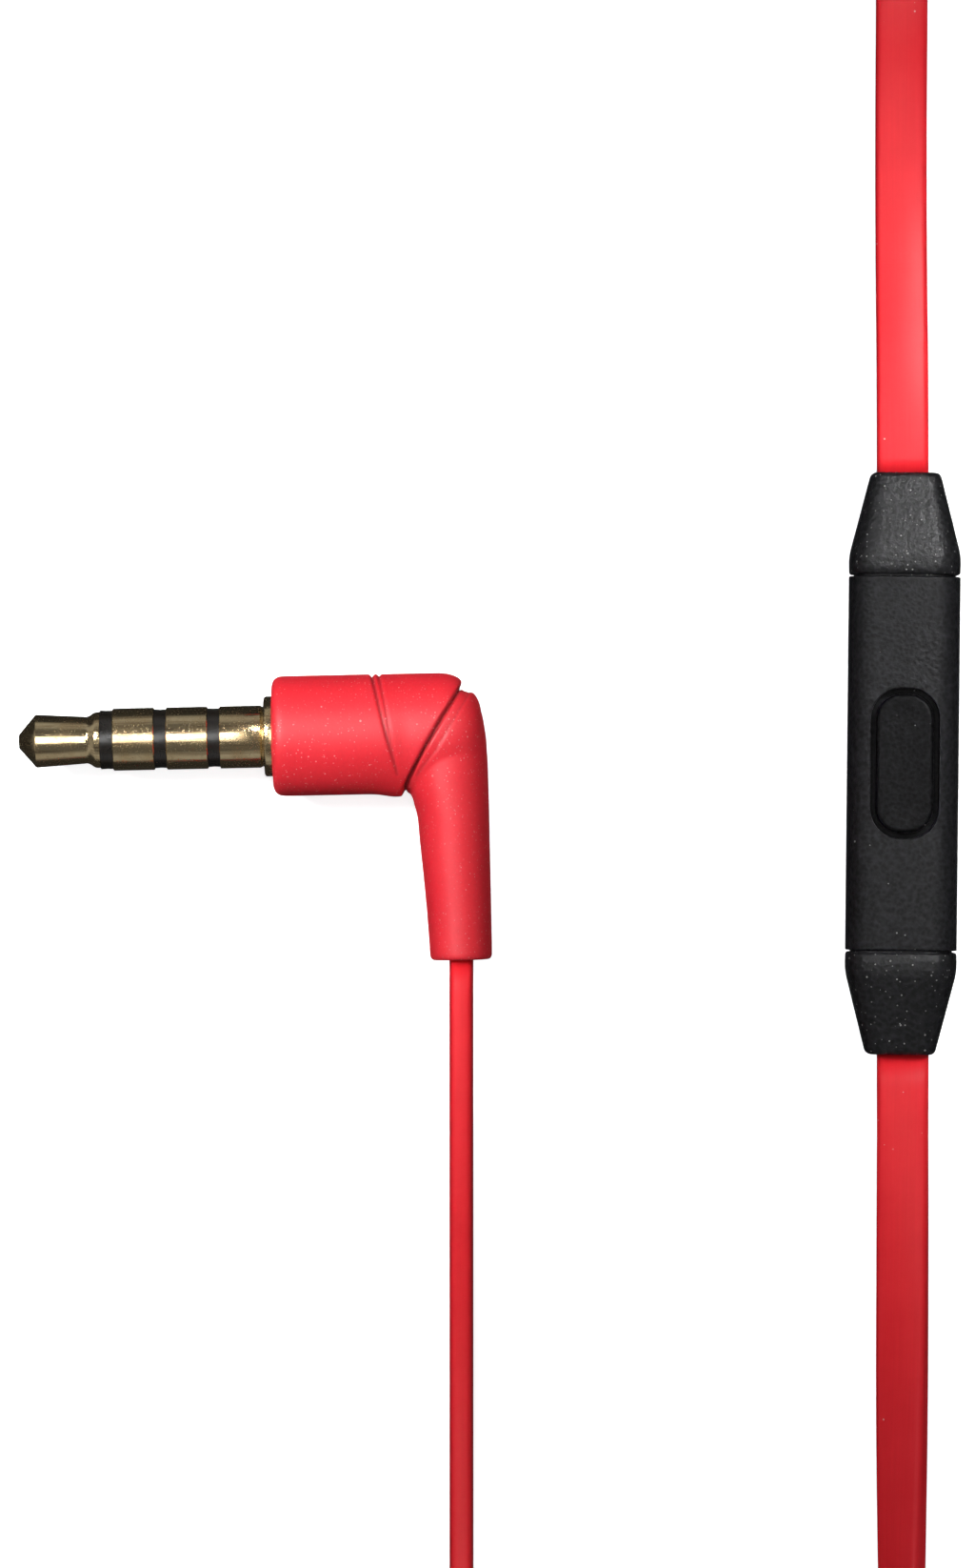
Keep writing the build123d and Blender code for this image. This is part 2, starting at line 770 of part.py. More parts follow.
main_wound = coil_length(main_coil_r, main_coil_inner_r, main_pitch, main_join_late)
branch_wound = coil_length(branch_coil_r, branch_coil_inner_r, branch_pitch, branch_join_late)
main_bend_long = main_bend_r * math.acos(
    (leg_at.X - main_coil_x + main_bend_r) / (main_join_r + main_bend_r)
)
branch_bend_long = branch_bend_r * math.acos(branch_bend_r / (branch_join_r + branch_bend_r))
main_total = plug_run + main_bend_long + main_wound + main_lead + remote_run
branch_total = branch_lead_long + branch_lead + branch_wound + branch_bend_long + branch_rise_long
print(f"main cord {main_total:.0f} of which wound {main_wound:.0f}")
print(f"upper cord {upper_cord:.0f}, each branch {branch_total:.0f}")
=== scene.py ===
import math

import bmesh
import bpy
import numpy as np
from mathutils import Matrix, Vector


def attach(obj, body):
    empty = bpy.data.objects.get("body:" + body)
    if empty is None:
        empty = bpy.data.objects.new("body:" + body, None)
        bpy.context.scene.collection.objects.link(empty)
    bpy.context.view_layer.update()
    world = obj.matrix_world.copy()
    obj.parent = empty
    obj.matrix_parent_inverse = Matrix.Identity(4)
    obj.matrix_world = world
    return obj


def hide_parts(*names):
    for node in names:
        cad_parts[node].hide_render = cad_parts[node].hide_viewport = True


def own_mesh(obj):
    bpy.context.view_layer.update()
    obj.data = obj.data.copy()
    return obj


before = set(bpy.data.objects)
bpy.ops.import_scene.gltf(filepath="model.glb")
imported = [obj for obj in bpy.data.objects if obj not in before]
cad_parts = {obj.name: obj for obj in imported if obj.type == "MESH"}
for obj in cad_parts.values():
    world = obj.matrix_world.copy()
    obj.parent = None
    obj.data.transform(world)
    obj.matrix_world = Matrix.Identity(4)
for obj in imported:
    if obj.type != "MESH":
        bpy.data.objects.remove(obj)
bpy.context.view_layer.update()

# ---------------------------------------------------------------------------------------------
# Table, lights and camera. A light table lies at z = 0 and the camera looks straight down on the
# plug and the remote. Two gridded strip lamps light these from the sides, a soft lamp hangs over
# both, and two small gridded ones reach the earpieces and the coil.
# ---------------------------------------------------------------------------------------------
REMOTE_AT = Vector((0.0, -0.110, 0.0))
VIEW_AT = REMOTE_AT + Vector((-0.0234, -0.00115, 0.003))
VIEW_HIGH, CAMERA_UP, FILM_HIGH, CLIP_FROM = 0.08826, 0.45, 36.0, 0.02
scene = bpy.context.scene


def add_object(name, data):
    """An object at the origin that holds some data, put in the scene."""
    it = bpy.data.objects.new(name, data)
    scene.collection.objects.link(it)
    return it


eye = bpy.data.cameras.new("camera")
eye.sensor_fit = "VERTICAL"
eye.sensor_height = FILM_HIGH
eye.lens = FILM_HIGH * CAMERA_UP / VIEW_HIGH
eye.clip_start = CLIP_FROM
camera = add_object("camera", eye)
camera.location = VIEW_AT + Vector((0, 0, CAMERA_UP))
scene.camera = camera
scene.view_settings.view_transform = "Standard"


def lamp(name, at, aim, size, watts, grid=180):
    """A soft lamp at one point, turned to face another. Its size is across the beam, then along
    the way it leans, and a grid narrows the beam to some degrees."""
    light = bpy.data.lights.new(name, "AREA")
    light.shape = "RECTANGLE"
    light.size, light.size_y = size
    light.energy = watts
    light.spread = math.radians(grid)
    it = add_object(name, light)
    it.location = at
    it.rotation_euler = (Vector(aim) - Vector(at)).to_track_quat("-Z", "Y").to_euler()


lamp("lamp_left", (-0.152, -0.052, 0.195), (-0.044, -0.110, 0), (0.07, 0.04), 0.0162, 22)
lamp("lamp_right", (0.090, -0.012, 0.195), (0.007, -0.106, 0), (0.22, 0.03), 0.0250, 14)
lamp("lamp_over", (-0.02, -0.075, 0.50), (-0.02, -0.112, 0), (0.14, 0.24), 0.46)
lamp("lamp_ears", (0.0, 0.03, 0.30), (0.0, -0.014, 0), (0.08, 0.04), 0.012, 12)
lamp("lamp_coil", (-0.022, -0.24, 0.30), (-0.022, -0.190, 0), (0.05, 0.03), 0.008, 12)


def add_node(tree, kind, inputs=(), **settings):
    """A node with its settings; each input, by label or place, is given a value or a socket."""
    node = tree.nodes.new(kind)
    for label, value in settings.items():
        setattr(node, label, value)
    for label, value in dict(inputs).items():
        if isinstance(value, bpy.types.NodeSocket):
            tree.links.new(value, node.inputs[label])
        else:
            node.inputs[label].default_value = value
    return node


def sums(tree, kind, a, b):
    """A Math node on two sockets or numbers; returns its output."""
    return add_node(tree, "ShaderNodeMath", {0: a, 1: b}, operation=kind).outputs[0]


def spread_to(tree, value, low, high, from_low=0.0, from_high=1.0):
    """A number carried from one range to another; returns its output."""
    return add_node(tree, "ShaderNodeMapRange",
                    {0: value, 1: from_low, 2: from_high, 3: low, 4: high}).outputs[0]


# The studio is dark below the horizon, soft grey above it and dimmer again overhead.
world = bpy.data.worlds.new("studio")
world.use_nodes = True
sky = world.node_tree
back = sky.nodes["Background"]
back.inputs["Color"].default_value = (0.95, 0.97, 1.0, 1)
way = add_node(sky, "ShaderNodeTexCoord").outputs["Generated"]
up = add_node(sky, "ShaderNodeSeparateXYZ", {"Vector": way}).outputs["Z"]
rise = spread_to(sky, up, 0.03, 0.30, -0.1, 0.12)
fall = spread_to(sky, up, 1.0, 0.35, 0.42, 0.62)
sky.links.new(sums(sky, "MULTIPLY", rise, fall), back.inputs["Strength"])
scene.world = world


def put(name, mesh, material=None, smooth=True):
    """A finished mesh as an object at the origin."""
    it = add_object(name, mesh)
    if smooth:
        mesh.polygons.foreach_set("use_smooth", [True] * len(mesh.polygons))
    if material:
        mesh.materials.append(material)
    return it


def mesh_of(name, points, faces):
    """A mesh from points in metres and faces, its normals turned outwards."""
    mesh = bpy.data.meshes.new(name)
    mesh.from_pydata([tuple(p) for p in points], [], faces)
    shell = bmesh.new()
    shell.from_mesh(mesh)
    bmesh.ops.recalc_face_normals(shell, faces=shell.faces)
    shell.to_mesh(mesh)
    shell.free()
    return mesh


def surface(name, **values):
    """A material, its node tree, its shader and a short way to join sockets. Each value is set on
    the shader's own socket, whose label is written with _ for a space."""
    material = bpy.data.materials.new(name)
    material.use_nodes = True
    tree = material.node_tree
    shader = tree.nodes["Principled BSDF"]
    for label, value in values.items():
        shader.inputs[label.replace("_", " ")].default_value = value
    return material, tree, shader, tree.links.new


TABLE_HALF, TABLE_GLOW = 1.2, 0.75
table_paper = surface("table_paper", Base_Color=(0.93, 0.93, 0.93, 1), Roughness=0.9,
                      Specular_IOR_Level=0.1, Emission_Color=(1, 1, 1, 1),
                      Emission_Strength=TABLE_GLOW)[0]
corners = [(x * TABLE_HALF, y * TABLE_HALF, 0) for x, y in ((-1, -1), (1, -1), (1, 1), (-1, 1))]
table = put("table", mesh_of("table", corners, [(0, 1, 2, 3)]), table_paper, False)
table.visible_glossy = False
table.visible_diffuse = False

# ---------------------------------------------------------------------------------------------
# Flat cords: extruded red elastomer, drawn smooth, with rounded edges. The main cord lies flat at
# the remote, stands on edge at the plug and is wound up in between; each branch is wound up too.
# ---------------------------------------------------------------------------------------------
MM = 0.001
CORD_WIDE, CORD_THICK, CORD_ROUND = 2.9 * MM, 1.35 * MM, 0.36 * MM
BRANCH_WIDE, BRANCH_THICK, BRANCH_ROUND = 2.0 * MM, 1.1 * MM, 0.3 * MM
CORD_BULGE, CORD_STEP = 0.05, 0.00003
SIXTEENTHS = 16


def effect(name, numbers_in, numbers_out):
    """A shared surface effect: a node group of numbers, with a usual value for each input."""
    group = bpy.data.node_groups.new(name, "ShaderNodeTree")
    for label, usual in numbers_in.items():
        socket = group.interface.new_socket(name=label, in_out="INPUT",
                                            socket_type="NodeSocketFloat")
        socket.default_value = usual
    for label in numbers_out:
        group.interface.new_socket(name=label, in_out="OUTPUT", socket_type="NodeSocketFloat")
    return group, add_node(group, "NodeGroupInput"), add_node(group, "NodeGroupOutput")


# The fine grain of a spark-eroded mould, and broad patches for cloudy colour and uneven gloss.
grain, given, wanted = effect("mould_grain", {"Size": 0.00012}, ("Height", "Patches"))
place = add_node(grain, "ShaderNodeTexCoord").outputs["Object"]
pits = add_node(grain, "ShaderNodeTexNoise",
                {"Vector": place, "Scale": sums(grain, "DIVIDE", 1.0, given.outputs["Size"]),
                 "Detail": 3.0, "Roughness": 0.6}).outputs["Fac"]
cells = add_node(grain, "ShaderNodeTexVoronoi",
                 {"Vector": place, "Scale": sums(grain, "DIVIDE", 0.7, given.outputs["Size"])})
cells = sums(grain, "MULTIPLY", cells.outputs["Distance"], 0.6)
grain.links.new(sums(grain, "ADD", pits, cells), wanted.inputs["Height"])
broad = add_node(grain, "ShaderNodeTexNoise", {"Vector": place, "Scale": 420.0, "Detail": 4.0})
grain.links.new(broad.outputs["Fac"], wanted.inputs["Patches"])

# Specks of dust that cling to soft rubber and matt plastic, in two sizes.
dust, given, wanted = effect("dust_specks", {"Spacing": 0.00025, "Share": 0.12}, ("Mask",))
place = add_node(dust, "ShaderNodeTexCoord").outputs["Object"]
masks = []
for density, reach in ((1.0, 0.16), (0.6, 0.13)):
    scale = sums(dust, "DIVIDE", density, given.outputs["Spacing"])
    flecks = add_node(dust, "ShaderNodeTexVoronoi",
                      {"Vector": place, "Scale": scale, "Randomness": 1.0}).outputs
    small = sums(dust, "LESS_THAN", flecks["Distance"], reach)
    pick = add_node(dust, "ShaderNodeSeparateColor", {"Color": flecks["Color"]}).outputs
    chosen = sums(dust, "LESS_THAN", pick["Red"], given.outputs["Share"])
    masks.append(sums(dust, "MULTIPLY", sums(dust, "MULTIPLY", small, chosen), pick["Green"]))
dust.links.new(sums(dust, "MAXIMUM", *masks), wanted.inputs["Mask"])


def grouped(tree, group, **values):
    """One use of a shared effect in a material, with its own values; returns its outputs."""
    return add_node(tree, "ShaderNodeGroup", values, node_tree=group).outputs


def blended(tree, factor, a, b):
    """A colour mix of two sockets or plain colours; returns its output."""
    a, b = ((*value, 1) if isinstance(value, tuple) else value for value in (a, b))
    return add_node(tree, "ShaderNodeMix", {0: factor, 6: a, 7: b}, data_type="RGBA").outputs[2]


def bumped(tree, shader, height, depth):
    """A bump of a real depth in metres on a shader."""
    node = add_node(tree, "ShaderNodeBump",
                    {"Strength": 1.0, "Distance": depth, "Height": height})
    tree.links.new(node.outputs["Normal"], shader.inputs["Normal"])


def noise_at(tree, vector, scale, size, detail=3.0, rough=0.6):
    """Noise on coordinates stretched by a scale; returns its value."""
    drawn_out = add_node(tree, "ShaderNodeMapping", {"Vector": vector, "Scale": scale}).outputs[0]
    noise = add_node(tree, "ShaderNodeTexNoise", {"Vector": drawn_out, "Scale": size,
                                                  "Detail": detail, "Roughness": rough})
    return noise.outputs["Fac"]


cord_red, tree, shader, join = surface("cord_red", Specular_IOR_Level=0.28)
along = add_node(tree, "ShaderNodeUVMap", uv_map="along").outputs["UV"]
drawn = noise_at(tree, along, (9000.0, 160.0, 1.0), 1.0, rough=0.5)
fine = grouped(tree, grain, Size=0.00009)
dusty = grouped(tree, dust, Share=0.02, Spacing=0.00035)
tone = blended(tree, fine["Patches"], (0.84, 0.014, 0.024), (0.94, 0.022, 0.034))
lined = blended(tree, spread_to(tree, drawn, 0.0, 0.3, 0.35, 0.75), tone, (0.76, 0.009, 0.018))
join(blended(tree, sums(tree, "MULTIPLY", dusty["Mask"], 0.6), lined, (0.9, 0.5, 0.45)),
     shader.inputs["Base Color"])
join(spread_to(tree, fine["Patches"], 0.38, 0.5), shader.inputs["Roughness"])
bumped(tree, shader, sums(tree, "ADD", fine["Height"], drawn), 0.000004)


def plain_mesh(it):
    """An object's shape with its modifiers or its bevel worked out, as a mesh; the object goes."""
    bpy.context.view_layer.update()
    worked = it.evaluated_get(bpy.context.evaluated_depsgraph_get())
    mesh = bpy.data.meshes.new_from_object(worked)
    bpy.data.objects.remove(it)
    return mesh


def route_line(name, points):
    """The smooth line of a cord's route, read from its NURBS spline with no bevel."""
    curve = bpy.data.curves.new(name, "CURVE")
    curve.dimensions = "3D"
    spline = curve.splines.new("NURBS")
    spline.points.add(len(points) - 1)
    for knot, at in zip(spline.points, points):
        knot.co = (*at, 1)
    spline.order_u = 3
    spline.use_endpoint_u = True
    spline.resolution_u = 10
    flat = plain_mesh(add_object(name, curve))
    line = [v.co.copy() for v in flat.vertices]
    bpy.data.meshes.remove(flat)
    kept = [line[0]]
    for at in line[1:]:
        if (at - kept[-1]).length > CORD_STEP:
            kept.append(at)
    return kept


def band(n, k, after=None):
    """The faces between two rings of n points, the k-th and the one after it."""
    after = k + 1 if after is None else after
    return [(k * n + j, k * n + (j + 1) % n, after * n + (j + 1) % n, after * n + j)
            for j in range(n)]


def flat_cord(name, line, wide, thick, round_r, on_edge):
    """A flat cord along a line. on_edge gives, for a distance from the start in metres, how far
    the cord is turned about its length: 0 is flat and 1 stands on edge, raised on its right."""
    corner = []
    bulge = CORD_BULGE * thick
    half_flat = wide / 2 - round_r
    for quarter, (x, y) in enumerate(((1, 1), (-1, 1), (-1, -1), (1, -1))):
        for k in range(5):
            angle = math.radians(90 * quarter + 22.5 * k)
            corner.append((x * half_flat + round_r * math.cos(angle),
                           y * (thick / 2 - bulge - round_r) + round_r * math.sin(angle)))
        if quarter in (0, 2):
            for k in range(1, 8):
                across = 1 - k / 4
                corner.append((x * half_flat * across, y * (thick / 2 - bulge * across ** 2)))
    spots, faces, reach = [], [], [0.0]
    for a, b in zip(line, line[1:]):
        reach.append(reach[-1] + (b - a).length)
    for k, at in enumerate(line):
        ahead = (line[min(k + 1, len(line) - 1)] - line[max(k - 1, 0)]).normalized()
        side = Vector((0, 0, 1)).cross(ahead).normalized()
        over = ahead.cross(side)
        turn = math.pi / 2 * on_edge(reach[k])
        broad_way = side * math.cos(turn) + over * math.sin(turn)
        thin_way = ahead.cross(broad_way)
        spots += [at + broad_way * x + thin_way * y for x, y in corner]
    n = len(corner)
    for k in range(len(line) - 1):
        faces += band(n, k)
    faces.append(tuple(range(n)))
    faces.append(tuple((len(line) - 1) * n + j for j in reversed(range(n))))
    mesh = mesh_of(name, spots, faces)
    uv = mesh.uv_layers.new(name="along")
    around = [0.0]
    for k in range(n):
        a, b = corner[k], corner[(k + 1) % n]
        around.append(around[-1] + math.hypot(b[0] - a[0], b[1] - a[1]))
    for face in mesh.polygons:
        row = [mesh.loops[i].vertex_index % n for i in face.loop_indices]
        wraps = 0 in row and n - 1 in row and len(row) == 4
        for i, j in zip(face.loop_indices, row):
            uv.data[i].uv = (around[n] if wraps and j == 0 else around[j],
                             reach[mesh.loops[i].vertex_index // n])
    return put(name, mesh, cord_red)


def wound(centre, r_out, pitch, first, last, spin, start_angle, high):
    """Points of one strand of a doubled coil, sixteen to a turn, from sixteenth first
    to sixteenth last. Each stands out from its turn so that the cord's line touches the turn."""
    found = []
    step = 2 * math.pi / SIXTEENTHS
    for k in range(first, last):
        angle = (k + 0.5) * step
        r = (r_out - pitch * 2 * angle / (2 * math.pi)) / math.cos(step / 2)
        way = start_angle + spin * angle
        found.append((centre[0] + r * math.cos(way), centre[1] + r * math.sin(way), high))
    return found


def coil_middle(centre, r_in, spin, angle, high):
    """The S that joins the two strands: two half circles, each half as wide as the gap inside."""
    found = []
    lobe = r_in / 2
    for sign in (1, -1):
        base = angle if sign > 0 else angle + math.pi
        mid = (centre[0] + lobe * math.cos(base), centre[1] + lobe * math.sin(base))
        arc = [(k + 0.5) * math.pi / 4 for k in range(4)]
        for turn in arc if sign > 0 else reversed(arc):
            way = base + spin * turn
            r = lobe / math.cos(math.pi / 8)
            found.append((mid[0] + r * math.cos(way), mid[1] + r * math.sin(way), high))
    return found


def coil_points(centre, r_out, pitch, in_steps, out_steps, spin, start_angle, high):
    """Every point of a doubled coil: inwards from sixteenth 0, through the S, and outwards along
    the other strand as far as sixteenth out_steps."""
    last_angle = in_steps * 2 * math.pi / SIXTEENTHS
    r_in = r_out - pitch * 2 * last_angle / (2 * math.pi)
    inward = wound(centre, r_out, pitch, 0, in_steps, spin, start_angle, high)
    middle = coil_middle(centre, r_in, spin, start_angle + spin * last_angle, high)
    outward = wound(centre, r_out, pitch, out_steps, in_steps, spin, start_angle + math.pi, high)
    return inward + middle + outward[::-1]


EDGE_Z = CORD_WIDE / 2
MAIN_COIL = (-22.2 * MM, -187.0 * MM)
MAIN_TURN_R, MAIN_PITCH = 22.2 * MM, 1.6 * MM
main_points = [
    (0, -126.39 * MM, 2.6 * MM),
    (0, -135.4 * MM, 2.6 * MM),
    (0, -150.4 * MM, EDGE_Z),
    (0, -170.0 * MM, EDGE_Z),
    (0, -182.6 * MM, EDGE_Z),
]
main_points += coil_points(MAIN_COIL, MAIN_TURN_R, MAIN_PITCH, 53, 5, -1, 0.0, EDGE_Z)
main_points += [
    (-24.87 * MM, -163.0 * MM, EDGE_Z),
    (-24.87 * MM, -152.0 * MM, EDGE_Z),
    (-24.87 * MM, -143.0 * MM, EDGE_Z),
    (-24.87 * MM, -130.0 * MM, 3.38 * MM),
    (-24.87 * MM, -121.05 * MM, 3.38 * MM),
]
main_line = route_line("main_line", main_points)


def main_turn(reach):
    """Flat at the remote, half turned 29 mm further on, and on edge from 55 mm to the plug."""
    part = min(1.0, max(0.0, (reach - 1.5 * MM) / (56 * MM)))
    return part * part * (3 - 2 * part) if part > 0.5 else part * (0.6 + 0.8 * part)


main_cord = flat_cord("main_cord", main_line, CORD_WIDE, CORD_THICK, CORD_ROUND, main_turn)
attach(main_cord, "headset")
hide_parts("cord_remote_run", "cord_main_coil", "cord_plug_run")

upper_points = [
    (0, -93.61 * MM, 2.6 * MM),
    (0, -88.6 * MM, 2.6 * MM),
    (0, -80.6 * MM, 0.78 * MM),
    (0, -72.0 * MM, 0.88 * MM),
    (0, -67.5 * MM, 1.7 * MM),
    (0, -64.02 * MM, 1.7 * MM),
]
upper_line = route_line("upper_line", upper_points[::-1])
upper_cord = flat_cord("upper_cord", upper_line, CORD_WIDE, CORD_THICK, CORD_ROUND,
                       lambda reach: 0.0)
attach(upper_cord, "headset")
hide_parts("cord_upper")

BRANCH_Z = BRANCH_WIDE / 2
BRANCH_COIL_Y = -36.3 * MM
BRANCH_TURN_R, BRANCH_PITCH = 13.0 * MM, 1.35 * MM
EAR_X = 14.45 * MM
for side, sign in (("right", 1), ("left", -1)):
    inward = coil_points((0, BRANCH_COIL_Y), BRANCH_TURN_R, BRANCH_PITCH, 30, -3, -1, math.pi,
                         BRANCH_Z)
    away = [
        (0, -9.52 * MM, 2.05 * MM),
        (0, -11.9 * MM, 2.05 * MM),
        (0, -15.0 * MM, BRANCH_Z),
        (0, -21.9 * MM, BRANCH_Z),
    ]
    near = [
        (-13.0 * MM, -45.5 * MM, BRANCH_Z),
        (-13.0 * MM, -49.4 * MM, 1.7 * MM),
        (-13.0 * MM, -51.98 * MM, 1.7 * MM),
    ]
    route = away + inward[::-1] + near
    route = [((x + EAR_X) * sign, y, z) for x, y, z in route]
    line = route_line(f"{side}_line", route)
    cord = flat_cord(f"{side}_branch_cord", line, BRANCH_WIDE, BRANCH_THICK, BRANCH_ROUND,
                     lambda reach: 1.0)
    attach(cord, "headset")
    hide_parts(f"cord_{side}_rise", f"cord_{side}_coil", f"cord_{side}_lead")

# ---------------------------------------------------------------------------------------------
# The 3.5 mm plug: four gold-plated turned contacts on a dark moulded core. The plating is worn
# by use: fine scratches run along the pin, with pits and a dull film between them.
# ---------------------------------------------------------------------------------------------
JACK_R, BAND_R, CORE_R, INSIDE_R = 1.75, 1.655, 1.15, 0.45
FLANGE_R, FLANGE_LONG, TAIL_R, TAIL_LONG = 2.25, 0.47, 1.5, 4.0
SLEEVE, RING, BAND, TIP = 2.49, 2.34, 0.67, 4.62
CORE_GAP, PLUG_TURN = 0.02, 1.2


def skinned(rings, close_start=True, close_end=True, loop=False):
    """Points and faces of a skin over rings of equal length, closed at its ends by fans."""
    n = len(rings[0])
    points = [Vector(p) for ring in rings for p in ring]
    last = len(rings) - 1
    faces = []
    for k in range(last):
        faces += band(n, k)
    if loop:
        return points, faces + band(n, last, 0)
    for wanted, base in ((close_start, 0), (close_end, last * n)):
        if wanted:
            points.append(sum(points[base:base + n], Vector()) / n)
            faces += [(base + j, base + (j + 1) % n, len(points) - 1) for j in range(n)]
    return points, faces


def made(name, shape, at, material, replaces, sharp=None, rides="headset"):
    """A piece from points in millimetres, carried by a placement, with the worked nodes it
    replaces and the body it rides."""
    points, faces = shape
    mesh = mesh_of(name, [at @ (p * MM) for p in points], faces)
    it = put(name, mesh, material)
    if sharp:
        mesh.set_sharp_from_angle(angle=math.radians(sharp))
    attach(it, rides)
    if replaces:
        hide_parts(*replaces)
    return it


def turned(profile, around=96, axis="X"):
    """A turned shape from (along, radius) pairs; the first and last radius may be 0."""
    rings = []
    for along, r in profile:
        ring = []
        for j in range(around):
            a = 2 * math.pi * j / around
            across = (max(r, 1e-4) * math.cos(a), max(r, 1e-4) * math.sin(a))
            ring.append((along, *across) if axis == "X" else (*across, along))
        rings.append(ring)
    return skinned(rings)


def eased(profile, bevel):
    """A profile with each inner corner cut back by a small bevel."""
    found = [profile[0]]
    for a, b, c in zip(profile, profile[1:], profile[2:]):
        for other in (a, c):
            away = Vector(other) - Vector(b)
            step = min(bevel, away.length * 0.45)
            found.append(tuple(Vector(b) + away.normalized() * step))
    return found + [profile[-1]]


def placed(x, y, z, turn=0):
    """A placement from millimetres and degrees about Z."""
    spin = Matrix.Rotation(math.radians(turn), 4, "Z")
    return Matrix.Translation((x * MM, y * MM, z * MM)) @ spin


def times(colour, share):
    """A colour made darker or lighter by a share."""
    return tuple(min(1.0, c * share) for c in colour)


def moulded(name, colour, rough, grain_size, grain_depth, specks=0.1, shift=0.12,
            speck=(0.6, 0.55, 0.5), shine=0.15, grit=0.88):
    """Matt moulded plastic or rubber: grain, cloudy colour, uneven gloss and a little dust."""
    material, tree, shader, join = surface(name, Specular_IOR_Level=shine)
    fine = grouped(tree, grain, Size=grain_size)
    dusty = grouped(tree, dust, Share=specks, Spacing=0.00028)["Mask"]
    cloudy = blended(tree, fine["Patches"], times(colour, 1 - shift), times(colour, 1 + shift))
    mottled = blended(tree, spread_to(tree, fine["Height"], 0.0, 1.0, 0.60, 1.10), cloudy,
                      times(colour, grit))
    join(blended(tree, sums(tree, "MULTIPLY", dusty, 0.8), mottled, speck),
         shader.inputs["Base Color"])
    join(spread_to(tree, fine["Patches"], rough - 0.07, rough + 0.09), shader.inputs["Roughness"])
    bumped(tree, shader, sums(tree, "ADD", fine["Height"], dusty), grain_depth)
    return material


PLUG_AT = placed(-35.49, -108.47, 3.38, PLUG_TURN)
gold, tree, shader, join = surface("gold_plate", Metallic=1.0)
place = add_node(tree, "ShaderNodeTexCoord").outputs["Object"]
lay = add_node(tree, "ShaderNodeMapping",
               {"Vector": place, "Rotation": (0, 0, math.radians(-PLUG_TURN))}).outputs["Vector"]
spotted = noise_at(tree, lay, (1, 1, 1), 9000.0, 4.0, 0.75)
scratched = noise_at(tree, lay, (0.035, 1, 1), 5200.0)
filmed = noise_at(tree, lay, (1, 1, 1), 700.0)
wear = spread_to(tree, spotted, 0.0, 1.0, 0.58, 0.68)
drag = spread_to(tree, scratched, 0.0, 1.0, 0.50, 0.64)
film = spread_to(tree, filmed, 0.0, 1.0, 0.40, 0.62)
plate = blended(tree, film, (0.90, 0.71, 0.41), (0.78, 0.58, 0.31))
plate = blended(tree, sums(tree, "MULTIPLY", wear, 0.55), plate, (0.30, 0.19, 0.08))
plate = blended(tree, sums(tree, "MULTIPLY", drag, 0.55), plate, (0.40, 0.26, 0.14))
join(plate, shader.inputs["Base Color"])
worn = sums(tree, "ADD", spread_to(tree, film, 0.13, 0.22), sums(tree, "MULTIPLY", wear, 0.22))
join(worn, shader.inputs["Roughness"])
bumped(tree, shader, sums(tree, "ADD", sums(tree, "MULTIPLY", wear, -1.0),
                          sums(tree, "MULTIPLY", drag, -0.5)), 0.000002)

core_dark = moulded("core_dark", (0.010, 0.008, 0.006), 0.27, 0.00015, 0.000004, specks=0.02,
                    shine=0.7)

at_x = -FLANGE_LONG - SLEEVE
bands = []
contacts = {}
for name in ("jack_ring_rear", "jack_ring_front", None):
    bands.append((at_x - BAND, at_x))
    if name:
        contacts[name] = (at_x - BAND - RING, at_x - BAND)
        at_x -= BAND + RING
tip_from = bands[-1][0]

sleeve = eased([(-FLANGE_LONG - SLEEVE, CORE_R), (-FLANGE_LONG - SLEEVE, JACK_R),
                (-FLANGE_LONG - 0.18, JACK_R), (-FLANGE_LONG - 0.12, JACK_R - 0.07),
                (-FLANGE_LONG - 0.02, JACK_R - 0.07), (-FLANGE_LONG, FLANGE_R - 0.1),
                (-FLANGE_LONG + 0.08, FLANGE_R), (0, FLANGE_R), (0, TAIL_R), (TAIL_LONG, TAIL_R),
                (TAIL_LONG, CORE_R)], 0.035)
made("sleeve_contact", turned(sleeve), PLUG_AT, gold, ["jack_sleeve"], sharp=35)
for name, (x0, x1) in contacts.items():
    shape = turned(eased([(x0, CORE_R), (x0, JACK_R), (x1, JACK_R), (x1, CORE_R)], 0.05))
    made(name.replace("jack_", "") + "_contact", shape, PLUG_AT, gold, [name], sharp=35)
core = [(TAIL_LONG + 1.0, INSIDE_R), (TAIL_LONG + 1.0, CORE_R - 0.01)]
for x0, x1 in bands:
    core += [(x1 + CORE_GAP, CORE_R - 0.01), (x1 + CORE_GAP, BAND_R),
             ((x0 + x1) / 2, BAND_R - 0.02), (x0 - CORE_GAP, BAND_R),
             (x0 - CORE_GAP, CORE_R - 0.01)]
made("moulded_core", turned(core), PLUG_AT, core_dark, ["jack_insulator"],
     sharp=35)
nose = tip_from - TIP
tip = [(tip_from, CORE_R), (tip_from, 1.58), (tip_from - 0.34, 1.56), (tip_from - 0.62, 1.37),
       (tip_from - 0.78, 1.30), (tip_from - 0.94, 1.32), (nose + 0.98, 1.49), (nose + 0.90, 1.43),
       (nose + 0.02, 0.40), (nose, 0.34), (nose, 0)]
made("tip_contact", turned([(tip_from, INSIDE_R)] + eased(tip[:7], 0.05)[1:] + tip[7:]), PLUG_AT,
     gold, ["jack_tip"], sharp=30)

# ---------------------------------------------------------------------------------------------
# The right-angle boot: soft matt red elastomer moulded in two shots, a round barrel and a leg
# that wraps its end. The mitre between them is an open lip with a fainter line beside it, the
# barrel has a long shallow crease, and white dust, which clings along the lower edges, is
# scattered over it here in patches.
# ---------------------------------------------------------------------------------------------
BOOT_R, BOOT_END, BOOT_SHOULDER, VOXEL = 3.38, 11.8, 2.4, 0.085
